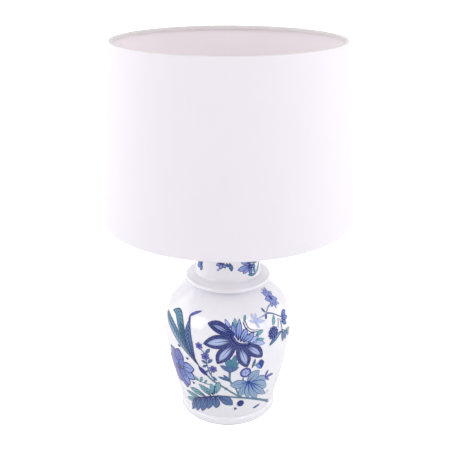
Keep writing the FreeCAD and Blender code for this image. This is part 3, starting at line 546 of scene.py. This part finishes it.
def draw_feather_leaves(d):
    """Long curling leaves on the left of the big flower, blue above and pale below."""
    d.start("leaves", 8)
    midrib = [(-28, 110), (-34, 123), (-45, 140), (-58, 155), (-74, 166)]
    frond(d, midrib, 8.5, inks=("pine", "haze"), rim=0.9, hatch=1.0)
    upper_edge = [(-30, 117), (-38, 133), (-48, 149), (-60, 161), (-74, 168)]
    frond(d, upper_edge, 4.2, inks=("pine", "sea"), rim=0.9, hatch=0.9)
    curl = [(-36, 134), (-43, 155), (-50, 170), (-57, 176), (-65, 174)]
    frond(d, curl, 6.4, inks=("pine", "sea"), rim=1.1, hatch=0.9)
    frond(d, [(-36, 136), (-42, 155), (-49, 169)], 4.0, inks=("pine", "teal"), rim=0.9, hatch=0.7)
    upright = [(-30, 114), (-34, 135), (-37, 158), (-38.5, 178)]
    frond(d, upright, 6.0, inks=("navy", "steel"), rim=1.0, dots=0.8, vein=1.0, hatch=1.0)
    tendril = [(-37, 168), (-39.5, 178), (-36, 182.5), (-28.5, 187)]
    frond(d, tendril, 1.9, inks=("violet", "lilac"), rim=0.5, hatch=0.6)
    stroke(d, midrib, 1.3, 0.5, inks=("night", "teal"), rim=0.9, dots=1.0)
    petal(d, (-18.5, 93), (-27.5, 108), 4, 0.08, inks=("night", "violet"), rim=1.2, dots=1.0, vein=0.4)


def draw_big_flower(d):
    """The big flower: pale petals behind, dark-rimmed petals in front, a crown, and its green cup."""
    d.start("flowers", 6)
    petals(d, [
        ((18, 151), (33, 143), 4.5, 0.05), ((3, 172), (-3.5, 182), 2.5, 0.1),
        ((14, 150), (27, 157), 4.0, 0.0),
    ], inks=("blue", "ice"), rim=0.8, vein=0.4)
    petals(d, [
        ((6, 155), (4, 179), 3.5, 0.02), ((8, 154), (11, 182), 4.5, 0.0), ((10, 153), (17, 171), 4.5, 0.0),
        ((12, 151), (23, 163.5), 5.0, 0.0),
    ], inks=("navy", "pale"), rim=1.1, dots=0.8, vein=0.8)
    petals(d, [
        ((13, 148), (31, 121), 9.0, 0.1), ((9, 147), (17, 109), 9.6, 0.03),
        ((6, 150), (-9.5, 117), 10.0, -0.1),
    ], inks=("night", "ice"), rim=5.6, dots=1.0, vein=0.8, root=0.45)
    petals(d, [
        ((5, 162), (-19.5, 176), 7.0, -0.12), ((5, 156), (-21.5, 147.5), 10.0, -0.05),
    ], inks=("navy", "ice"), rim=5.4, dots=1.0, vein=0.8, root=0.45)
    strokes(d, [
        ([(14, 178), (16, 170), (20, 165), (26.5, 163.5)], 0.9, 0.4),
        ([(16, 179), (18, 171), (22, 167), (27.5, 165.5)], 0.7, 0.3),
    ], inks=("navy", "navy"))
    cup_rim = [(1.5, 167), (3, 158), (7, 150.5), (13, 146.5), (19.5, 148)]
    stroke(d, cup_rim, 3.4, 3.9, inks=("night", "navy"), rim=3.0, dots=1.0)
    stroke(d, [(5, 162), (9, 153.5), (16.5, 150.5)], 0.5, 0.5, inks=("white", "white"))
    discs(d, [
        ((3.5, 175), 0.9), ((11.5, 176.5), 0.9), ((13.5, 169), 0.8), ((18, 161.5), 0.9), ((24.5, 149.5), 0.7),
    ], inks=("navy", "navy"))
    d.start("flowers", 22)
    petals(d, [
        ((1.5, 108), (-2.5, 124), 3.4, -0.1), ((2.5, 108), (1.5, 127), 3.6, 0.0),
        ((3, 108), (6, 133), 3.8, -0.04), ((3.5, 108), (9.5, 120), 3.2, 0.12),
    ], inks=("teal", "sea"), rim=0.6, vein=0.4, hatch=0.7)
    petals(d, [
        ((1.5, 103), (-7, 115), 3.5, -0.12), ((1.5, 103), (9.5, 112), 3.5, 0.12),
        ((1.5, 101), (1.5, 114), 4.5, 0.0),
    ], inks=("slate", "steel"), rim=0.6, vein=0.4, hatch=0.6)


def draw_left_flowers(d):
    """A rounded violet flower low on the left, and three small stars up a sprig."""
    d.start("flowers", 8)
    petals(d, [
        ((-54, 90), (-76, 90), 13, 0.05), ((-54, 94), (-64, 119), 12, -0.05),
        ((-54, 86), (-64, 60), 12, 0.06), ((-52, 94), (-49, 124), 11, 0.04),
        ((-51, 86), (-47.5, 55), 11, 0.04),
    ], inks=("night", "lilac"), rim=1.8, dots=0.6, vein=0.8, hatch=0.6)
    petals(d, [
        ((-50, 88), (-33, 79.5), 9.5, 0.1), ((-49, 94), (-32.5, 99), 9.5, 0.0),
        ((-51, 86), (-42, 63), 8.0, 0.08),
    ], inks=("night", "pale"), rim=2.0, dots=0.6, vein=1.0, hatch=0.4)
    petals(d, [
        ((-52, 90), (-45, 108), 6.0, 0.0), ((-53, 90), (-45, 75), 6.0, 0.0),
        ((-54, 90), (-60, 102), 6.0, 0.0),
    ], inks=("violet", "sky"), rim=1.3, vein=0.6, hatch=0.5)
    disc(d, (-52, 91), 4.5, inks=("night", "violet"), rim=1.5, dots=1.0)
    for centre in ((-39, 112), (-36, 70), (-48, 128)):
        for direction in (50, 90, 130):
            petal(d, centre, around(d, centre, direction, 4.5), 0.8, inks=("violet", "violet"))
    d.start("flowers", 14)
    look = {"inks": ("violet", "lilac"), "rim": 0.7, "vein": 0.3}
    for centre, radius in (((-25.5, 142.5), 5.6), ((-20, 127), 6.4), ((-13.5, 107), 6.0)):
        rosette(d, centre, radius * 1.1, 6, radius * 0.34, turn=100, core=1.2, **look)


def draw_right_flowers(d):
    """A spiky flower, bells and berries at the top right; a round one, a bud and small petals lower down."""
    d.start("flowers", 6)
    spiky = (60, 192)
    for count, length, width, dark in ((11, 12.5, 2.6, "night"), (9, 9.0, 2.4, "violet")):
        for k in range(count):
            direction = 360 * k / count + length
            reach = length * (0.8 + 0.55 * abs(math.cos(math.radians(direction))))
            tip = around(d, spiky, direction, reach)
            petal(d, spiky, tip, width, 0.08, inks=(dark, "pale"), rim=0.6, vein=0.4)
    disc(d, spiky, 2.8, inks=("night", "violet"))
    petals(d, [
        ((57, 168), (68, 171.5), 3.5, 0.1), ((56, 166), (67, 163), 3.5, 0.05),
        ((55, 163.5), (62.5, 155), 3.5, 0.1),
    ], inks=("navy", "sky"), rim=1.0, vein=0.6)
    berry = (42.5, 154)
    disc(d, berry, 8.2, inks=("night", "violet"), rim=1.0)
    for count, ring in ((10, 7.6), (6, 3.9), (1, 0)):
        for k in range(count):
            disc(d, around(d, berry, 360 * k / count + 10, ring), 2.4, inks=("night", "pale"), rim=0.8)
    star = (26, 175)
    petals(d, [
        (star, (24, 186), 1.8), (star, (29.5, 185), 1.7), (star, (20, 179), 1.5), (star, (36, 174.5), 1.8),
        (star, (29, 167.5), 1.5), (star, (34, 180), 1.4),
    ], inks=("mist", "ice"), rim=0.3, vein=0.2)
    disc(d, star, 1.3, inks=("mist", "mist"))
    d.start("flowers", 12)
    disc(d, (16, 100), 8.8, inks=("violet", "pale"), rim=1.7, dots=0.8)
    rosette(d, (16, 100), 6.4, 7, 2.0, turn=90, core=1.4, inks=("lilac", "ice"), rim=0.5, vein=0.0)
    petal(d, (31.5, 101), (30, 118), 5.5, 0.05, inks=("navy", "blue"), rim=1.5, dots=0.8, vein=0.8)
    petal(d, (31.5, 101), (26, 113), 2.8, 0.1, inks=("blue", "pale"), rim=0.7)
    petals(d, [
        ((38, 81), (41, 93), 2.2, 0.1), ((38, 81), (50, 78.5), 2.5, 0.1), ((38, 81), (44.5, 71), 2.0, 0.1),
    ], inks=("violet", "lilac"), rim=0.6, vein=0.3)
    disc(d, (13.5, 41.5), 6.3, inks=("navy", "blue"), rim=1.8, dots=1.0)


def draw_neck(d):
    """Three sprays on the neck, which the shade half hides."""
    d.start("leaves", 0)
    petals(d, [
        ((58, 225.3), (36, 229.5), 2.4, 0.12), ((58, 225.3), (71, 240), 3.0, -0.1),
        ((57, 226), (50, 238), 2.6, 0.1), ((46, 246), (62, 243), 2.8, 0.05),
    ], inks=("teal", "sea"), rim=0.5, vein=0.5, hatch=0.5)
    petals(d, [
        ((2, 250.8), (6, 237.5), 3.0, 0.08), ((-3, 250.8), (0, 244), 2.2, 0.05),
    ], inks=("slate", "steel"), rim=0.6, vein=0.4, hatch=0.5)
    d.start("flowers", 6)
    petals(d, [
        ((-50, 246), (-70, 233), 4.2, 0.08), ((-54, 248), (-68, 245), 3.6, 0.05),
        ((-52, 242), (-58, 230), 3.4, 0.05),
    ], inks=("navy", "sky"), rim=1.0, vein=0.6)
    petals(d, [
        ((-10, 250.8), (-15, 240.5), 3.2, 0.05), ((-9, 250.8), (-5, 242.5), 2.6, 0.05),
        ((-12, 250.8), (-21, 245.5), 2.6, 0.05),
    ], inks=("navy", "pale"), rim=1.1, dots=0.7, vein=0.6)
    petals(d, [
        ((40, 243), (16, 239), 4.4, 0.06), ((40, 246), (22, 250.5), 3.0, 0.05),
        ((40, 241), (26, 232.5), 3.4, 0.08),
    ], inks=("violet", "pale"), rim=1.1, dots=0.7, vein=0.6)
    petals(d, [
        ((40, 246), (56, 250), 3.2, 0.05), ((40, 241), (44, 227.5), 3.8, 0.05),
        ((41, 243), (55, 236), 3.4, 0.05), ((40, 244), (40, 251), 3.4, 0.0),
    ], inks=("night", "sky"), rim=1.1, vein=0.6)
    petal(d, (-15, 241.5), (-20, 238), 1.6, 0.1, inks=("lilac", "mist"), rim=0.3)
    disc(d, (40, 243), 2.6, inks=("night", "violet"), rim=1.2, dots=1.0)


# ---------------------------------------------------------------- finishes of the print
DOT_PITCH_MM, DOT_ROW_MM = 1.9, 1.5  # dots along a rim, and rows of them inwards
DOT_OUTER_MM, DOT_INNER_MM = 0.36, 0.2  # where a dot begins to show, and where it is full
RIM_SOFT_MM, VEIN_SOFT_MM = 0.18, 0.15  # half width of the soft edge of a rim and of a vein
VEIN_REACH = 0.85  # how far along its leaf a vein runs
HATCH_PITCH_MM = 4.4
DOT_INK = (0.45, 0.55, 0.85, 1)


def build_ink(tree, given, result):
    """A rim of dark ink with light dots in it, a dark vein down the middle, and slanting hatch inside."""
    edge, along, across = split(tree, given["Place"])
    rim, dots, vein = split(tree, given["Style"])
    reach, hatch = split(tree, given["More"])[:2]
    wobble = noise(tree, given["Surface"], 450.0, 2.0)
    rough_edge = maths(tree, "ADD", edge, maths(tree, "MULTIPLY", maths(tree, "SUBTRACT", wobble, 0.5), 0.7))
    outside = maths(tree, "SUBTRACT", rough_edge, rim)
    rim_mask = step_up(tree, outside, RIM_SOFT_MM, -RIM_SOFT_MM)
    row = maths(tree, "DIVIDE", edge, DOT_ROW_MM)
    shift = maths(tree, "MULTIPLY", maths(tree, "FLOOR", row), 0.5)
    beat = maths(tree, "FRACT", maths(tree, "ADD", maths(tree, "DIVIDE", along, DOT_PITCH_MM), shift))
    beat_mm = maths(tree, "MULTIPLY", maths(tree, "SUBTRACT", beat, 0.5), DOT_PITCH_MM)
    row_mm = maths(tree, "MULTIPLY", maths(tree, "SUBTRACT", maths(tree, "FRACT", row), 0.5), DOT_ROW_MM)
    squares = maths(
        tree, "ADD", maths(tree, "MULTIPLY", beat_mm, beat_mm), maths(tree, "MULTIPLY", row_mm, row_mm)
    )
    dot = step_up(tree, maths(tree, "SQRT", squares), DOT_OUTER_MM, DOT_INNER_MM)
    dot_mask = maths(tree, "MULTIPLY", dot, maths(tree, "MULTIPLY", dots, rim_mask))
    narrowing = maths(tree, "SUBTRACT", 1.0, maths(tree, "DIVIDE", reach, VEIN_REACH), clamp=True)
    vein_wide = maths(tree, "MULTIPLY", vein, narrowing)
    vein_off = maths(tree, "SUBTRACT", maths(tree, "ABSOLUTE", across), vein_wide)
    vein_on = maths(tree, "GREATER_THAN", vein, 0.01)
    vein_mask = maths(tree, "MULTIPLY", step_up(tree, vein_off, VEIN_SOFT_MM, -VEIN_SOFT_MM), vein_on)
    slant = maths(tree, "ADD", maths(tree, "ABSOLUTE", across), maths(tree, "MULTIPLY", along, 0.8))
    lines = maths(tree, "PINGPONG", maths(tree, "DIVIDE", slant, HATCH_PITCH_MM), 0.5)
    hatch_mask = maths(tree, "MULTIPLY", step_up(tree, lines, 0.22, 0.1), maths(tree, "MULTIPLY", hatch, 0.8))
    wash = maths(tree, "MULTIPLY", maths(tree, "SUBTRACT", wobble, 0.3), 0.35, clamp=True)
    root_wash = maths(tree, "MULTIPLY", step_up(tree, reach, 0.5, 0.0), 0.5)
    inside = maths(tree, "DIVIDE", outside, maths(tree, "ADD", rim, 0.1))
    shade_band = maths(tree, "MULTIPLY", step_up(tree, inside, 0.5, 0.0), 0.4)
    wash = maths(tree, "ADD", wash, shade_band)
    body = mix_colour(tree, maths(tree, "ADD", wash, root_wash, clamp=True), given["Light"], given["Dark"])
    body = mix_colour(tree, hatch_mask, body, given["Dark"])
    body = mix_colour(tree, vein_mask, body, given["Dark"])
    body = mix_colour(tree, rim_mask, body, given["Dark"])
    body = mix_colour(tree, dot_mask, body, DOT_INK)
    tree.links.new(body, result["Color"])
    tree.links.new(wobble, result["Height"])


INK_GROUP = make_group(
    "printed_ink",
    [
        ("Place", VECTOR, None), ("Style", VECTOR, None), ("More", VECTOR, None), ("Surface", VECTOR, None),
        ("Dark", COLOR, (0, 0, 0.2, 1)), ("Light", COLOR, (0.5, 0.6, 1, 1)),
    ],
    [("Color", COLOR), ("Height", FLOAT)],
    build_ink,
)


def object_place(tree):
    """The place on the object, in metres."""
    return add_node(tree, "ShaderNodeTexCoord").outputs["Object"]


def bumped(tree, shader, height, strength, distance):
    """Gives the shader a bump from a height, distance in metres."""
    bump = add_node(tree, "ShaderNodeBump", {"Height": height, "Strength": strength, "Distance": distance})
    tree.links.new(bump.outputs["Normal"], shader.inputs["Normal"])


def ink_finish():
    """Glossy ink under glaze, coloured from the values stored on the print's points."""
    material, tree, shader = new_material(
        "transfer_print_ink", 0.25, Specular_IOR_Level=0.2, Coat_Weight=0.35, Coat_Roughness=0.05
    )

    def stored(name, output="Vector"):
        """A value stored on the points."""
        return add_node(tree, "ShaderNodeAttribute", attribute_name=name).outputs[output]

    ink = place_group(
        tree, INK_GROUP, Place=stored("print_place"), Style=stored("print_style"), More=stored("print_more"),
        Surface=object_place(tree), Dark=stored("ink_dark", "Color"), Light=stored("ink_light", "Color"),
    )
    tree.links.new(ink.outputs["Color"], shader.inputs["Base Color"])
    bumped(tree, shader, ink.outputs["Height"], 0.12, 0.0002)
    return material


def mottled_finish(name, color, other, scale, amount, roughness, bump, depth=0.0002, **sockets):
    """A finish whose colour drifts between two near tones, with a fine uneven surface."""
    material, tree, shader = new_material(name, roughness, **sockets)
    tone = place_group(
        tree, MOTTLE, Place=object_place(tree), Scale=scale, Amount=amount, Color=color, Other=other
    )
    tree.links.new(tone.outputs["Color"], shader.inputs["Base Color"])
    if bump:
        bumped(tree, shader, tone.outputs["Height"], bump, depth)
    return material


CLOTH_R_MM = 165.0  # mean radius of the shade


def round_the_axis(tree):
    """Place in millimetres on a cloth wrapped round Z: along the round at the mean radius, and up."""
    x, y, z = split(tree, object_place(tree))
    angle = maths(tree, "ARCTAN2", x, maths(tree, "MULTIPLY", y, -1.0))
    across = maths(tree, "MULTIPLY", angle, CLOTH_R_MM)
    up = maths(tree, "MULTIPLY", z, 1 / MM)
    return add_node(tree, "ShaderNodeCombineXYZ", {0: across, 1: up}).outputs[0]


def cloth_finish(name, color, gap_shade_tone, threads, depth, roughness=0.85, bump=0.35):
    """Woven cloth: the thread colour, darkened towards a second tone in the gaps between threads as painted
    shade, with the threads standing out.
    """
    material, tree, shader = new_material(name, roughness)
    cloth = place_group(
        tree, WEAVE, Place_mm=round_the_axis(tree), Threads_per_mm=threads, Depth=depth, Color=color, Gap=gap_shade_tone
    )
    tree.links.new(cloth.outputs["Color"], shader.inputs["Base Color"])
    bumped(tree, shader, cloth.outputs["Height"], bump, 0.0002)
    return material


# ---------------------------------------------------------------- the lamp's own finishes
def paint(names, material):
    """Gives CAD nodes their finish."""
    for name in names:
        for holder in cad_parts[name].material_slots:
            holder.link = "DATA"
            holder.material = material


METAL = {"Metallic": 1.0}
GLAZE = {"depth": 0.0006, "Coat_Weight": 0.7, "Coat_Roughness": 0.05}
# Each row: nodes; name; two tones; noise scale, amount of drift, roughness and bump; anything more.
for names, finish, tone, other, numbers, more in (
    (["jar_body", "jar_lid"], "clear_glaze_on_white", (0.85, 0.84, 0.88, 1), (0.80, 0.79, 0.83, 1),
     (9.0, 0.5, 0.13, 0.05), GLAZE),
    (["felt_pad"], "short_grey_felt", (0.09, 0.09, 0.10, 1), (0.04, 0.04, 0.045, 1),
     (900.0, 0.8, 0.95, 0.8), {}),
    (["cord_bush"], "moulded_rubber", (0.02, 0.02, 0.02, 1), (0.035, 0.035, 0.035, 1),
     (400.0, 0.6, 0.6, 0.2), {}),
    (["cork_gasket"], "pressed_cork", (0.42, 0.24, 0.11, 1), (0.14, 0.07, 0.03, 1),
     (420.0, 0.9, 0.85, 0.5), {}),
    (["clamp_washer", "lock_washer", "bottom_nut", "threaded_rod", "holder_grub_screw"], "zinc_plate",
     (0.62, 0.63, 0.66, 1), (0.48, 0.50, 0.55, 1), (300.0, 0.6, 0.32, 0.1), METAL),
    (["lid_plate", "stem_tube"], "satin_nickel", (0.66, 0.64, 0.60, 1), (0.56, 0.54, 0.50, 1),
     (240.0, 0.5, 0.28, 0.08), METAL),
    (["holder_cap", "holder_skirt", "shade_ring"], "moulded_plastic", (0.80, 0.80, 0.78, 1),
     (0.74, 0.74, 0.72, 1), (160.0, 0.4, 0.42, 0.08), {}),
    (["contact_block"], "insulating_ceramic", (0.66, 0.62, 0.54, 1), (0.55, 0.50, 0.42, 1),
     (300.0, 0.7, 0.6, 0.2), {}),
    (["terminal_screws", "centre_contact", "side_contact", "screw_shell", "bulb_contact"], "plain_brass",
     (0.75, 0.55, 0.24, 1), (0.60, 0.42, 0.18, 1), (260.0, 0.6, 0.3, 0.08), METAL),
    (["top_wire_ring", "bottom_wire_ring", "carrier_ring", "carrier_arms"], "powder_coat",
     (0.80, 0.80, 0.79, 1), (0.72, 0.72, 0.71, 1), (900.0, 0.6, 0.45, 0.25), {}),
    (["bulb_housing"], "bulb_plastic", (0.82, 0.82, 0.80, 1), (0.76, 0.76, 0.74, 1),
     (150.0, 0.4, 0.35, 0.05), {}),
    (["bulb_dome"], "opal_globe", (0.90, 0.88, 0.84, 1), (0.84, 0.82, 0.78, 1), (60.0, 0.4, 0.28, 0.03), {}),
    (["led_board"], "coated_board", (0.80, 0.80, 0.80, 1), (0.70, 0.70, 0.70, 1), (200.0, 0.4, 0.5, 0.0), {}),
    (["bulb_cap"], "nickel_sheet", (0.70, 0.68, 0.64, 1), (0.58, 0.56, 0.52, 1),
     (260.0, 0.5, 0.25, 0.06), METAL),
    (["bulb_insulator"], "black_insulator", (0.012, 0.012, 0.014, 1), (0.03, 0.03, 0.032, 1),
     (300.0, 0.5, 0.2, 0.05), {}),
):
    paint(names, mottled_finish(finish, tone, other, *numbers, **more))
# For each cloth, the second colour is the painted shade in the gaps between threads.
CLOTH = cloth_finish("shade_cloth", (0.866, 0.824, 0.870, 1), (0.75, 0.712, 0.753, 1), 2.2, 0.35)
paint(["shade_fabric"], CLOTH)
paint(["shade_liner"], cloth_finish(
    "shade_lining", (0.885, 0.825, 0.845, 1), (0.825, 0.765, 0.785, 1), 3.0, 0.2, 0.6, 0.15))
paint(["top_hem", "bottom_hem"], cloth_finish(
    "rolled_hem", (0.80, 0.76, 0.75, 1), (0.64, 0.60, 0.59, 1), 3.2, 0.5, 0.9, 0.5))


# ---------------------------------------------------------------- new pieces
def print_mesh(name, strips, points):
    """A mesh of print strips with their ink values stored on the points."""
    mesh = make_mesh(name, points, np.concatenate(strips["faces"]))
    values = np.concatenate(strips["values"])
    edge, along, across, reach = values[:, :4].T
    rim, dots, vein, hatch = values[:, 10:].T
    none = np.zeros_like(edge)
    opaque = np.ones_like(edge)
    vectors = {
        "print_place": [edge, along, across], "print_style": [rim, dots, vein],
        "print_more": [reach, hatch, none],
    }
    for label, columns in vectors.items():
        layer = mesh.attributes.new(label, "FLOAT_VECTOR", "POINT")
        layer.data.foreach_set("vector", np.stack(columns, axis=-1).ravel())
    for label, first in (("ink_dark", 4), ("ink_light", 7)):
        colour = np.concatenate([values[:, first : first + 3], opaque[:, None]], axis=1)
        layer = mesh.attributes.new(label, "FLOAT_COLOR", "POINT")
        layer.data.foreach_set("color", colour.ravel())
    return mesh


def add_print(drawing, ink):
    """The drawing's kinds as pieces, once at the front and once at the back."""
    for side, turn in (("front", 0.0), ("back", 180.0)):
        for kind, strips in drawing.kinds.items():
            name = f"print_{drawing.name}_{kind}_{side}"
            mesh = print_mesh(name, strips, drawing.placed(strips, turn))
            add_piece(name, mesh, "base", ink)


NECK_PROFILE = np.array([[NECK_R_MM, NECK_LOW_MM], [NECK_R_MM, NECK_TOP_MM]])
INK_FINISH = ink_finish()
jar_print = Drawing("jar", JAR_PROFILE, JAR_MM_PER_DEGREE)
for draw in (
    draw_stems, draw_feather_leaves, draw_oak_leaf, draw_small_leaves, draw_left_flowers, draw_right_flowers,
    draw_big_flower,
):
    draw(jar_print)
add_print(jar_print, INK_FINISH)
neck_print = Drawing("neck", NECK_PROFILE, NECK_MM_PER_DEGREE)
draw_neck(neck_print)
add_print(neck_print, INK_FINISH)

SHADE_LOW_MM, SHADE_HIGH_MM = np.array([175.0, 309.1]), np.array([154.2, 548.2])  # (radius, height)
SEAM_HALF_MM, SEAM_LIFT_MM, SEAM_EDGE_MM = 4.5, 0.3, 0.02  # half width; lift in the middle; lift at the edges


def shade_seam():
    """The lapped seam up the shade's back: a strip on the cone, raised in the middle, with rounded edges.

    Across the strip u goes from -1 to 1, and the lift is SEAM_EDGE_MM + SEAM_LIFT_MM times (1 - u^6), so that
    both long edges close down on the cloth. The strip stops just short of both ends of the cone."""
    rows, cols = 60, 13
    up, u = np.meshgrid(np.linspace(0.004, 0.996, rows), np.linspace(-1, 1, cols), indexing="ij")
    cone = SHADE_LOW_MM + (SHADE_HIGH_MM - SHADE_LOW_MM) * up[..., None]
    radius = cone[..., 0] + SEAM_EDGE_MM + SEAM_LIFT_MM * (1 - u**6)
    angle = math.pi / 2 + u * SEAM_HALF_MM / CLOTH_R_MM
    points = np.stack([radius * np.cos(angle), radius * np.sin(angle), cone[..., 1]], axis=-1).reshape(-1, 3)
    return make_mesh("shade_back_seam", points * MM, grid_faces(rows, cols))


add_piece("shade_back_seam", shade_seam(), "shade", CLOTH)

# ---------------------------------------------------------------- floor, light and camera
FLOOR_HALF = 12.0
AIM_HEIGHT = 0.2  # where the lights point, up the lamp's axis
PITCH_DOWN = 21.2
CORNERS = np.array([[-1, -1, 0], [1, -1, 0], [1, 1, 0], [-1, 1, 0]])
floor_mesh = make_mesh("studio_floor", CORNERS * FLOOR_HALF, np.array([[0, 1, 2, 3]]))
floor = place_in_scene("studio_floor", floor_mesh)
floor_finish, floor_tree, floor_shader = new_material("pale_floor", 0.9)
floor_shader.inputs["Emission Color"].default_value = (1, 1, 1, 1)
seen = add_node(floor_tree, "ShaderNodeLightPath").outputs["Is Camera Ray"]
floor_y = split(floor_tree, object_place(floor_tree))[1]
behind = maths(floor_tree, "MULTIPLY", step_up(floor_tree, floor_y, -0.2, 0.4), 0.25)
glow = maths(floor_tree, "MAXIMUM", maths(floor_tree, "MULTIPLY", seen, 0.85), behind)
floor_tree.links.new(glow, floor_shader.inputs["Emission Strength"])
floor_mesh.materials.append(floor_finish)


def softbox(name, azimuth, elevation, distance, wide, tall, power):
    """An area light aimed at the lamp; azimuth is round from the front, to the right."""
    light = bpy.data.lights.new(name, "AREA")
    light.shape, light.size, light.size_y, light.energy = "RECTANGLE", wide, tall, power
    lamp = place_in_scene(name, light)
    turn, rise = math.radians(azimuth), math.radians(elevation)
    away = np.array([math.sin(turn) * math.cos(rise), -math.cos(turn) * math.cos(rise), math.sin(rise)])
    lamp.location = away * distance + np.array([0, 0, AIM_HEIGHT])
    lamp.rotation_euler = (math.pi / 2 - rise, 0, turn)


softbox("softbox_right", 46, 30, 1.7, 1.1, 1.5, 9.0)
softbox("softbox_left", -60, 28, 1.7, 0.8, 1.1, 6.2)
softbox("side_panel_right", 100, 10, 1.5, 1.4, 1.4, 3.6)
softbox("side_panel_left", -100, 10, 1.5, 1.4, 1.4, 5.0)

world = bpy.data.worlds.new("studio")
bpy.context.scene.world = world
world.use_nodes = True
sky = world.node_tree
background = sky.nodes["Background"].inputs
direction_y = split(sky, add_node(sky, "ShaderNodeTexCoord").outputs["Generated"])[1]
dim = step_up(sky, direction_y, -0.35, -0.95)
level = maths(sky, "SUBTRACT", 0.91, maths(sky, "MULTIPLY", dim, 0.5))
seen = add_node(sky, "ShaderNodeLightPath").outputs["Is Camera Ray"]
sky.links.new(maths(sky, "MAXIMUM", level, maths(sky, "MULTIPLY", seen, 0.93)), background["Strength"])
background["Color"].default_value = (0.97, 0.97, 1.0, 1)
bpy.context.scene.view_settings.view_transform = "Standard"

camera_data = bpy.data.cameras.new("camera")
camera_data.sensor_width, camera_data.lens = 36.0, 59.6
camera = place_in_scene("camera", camera_data)
camera.location = (-0.0044, -0.9864, 0.6717)
camera.rotation_euler = (math.radians(90 - PITCH_DOWN), 0, 0)
bpy.context.scene.camera = camera
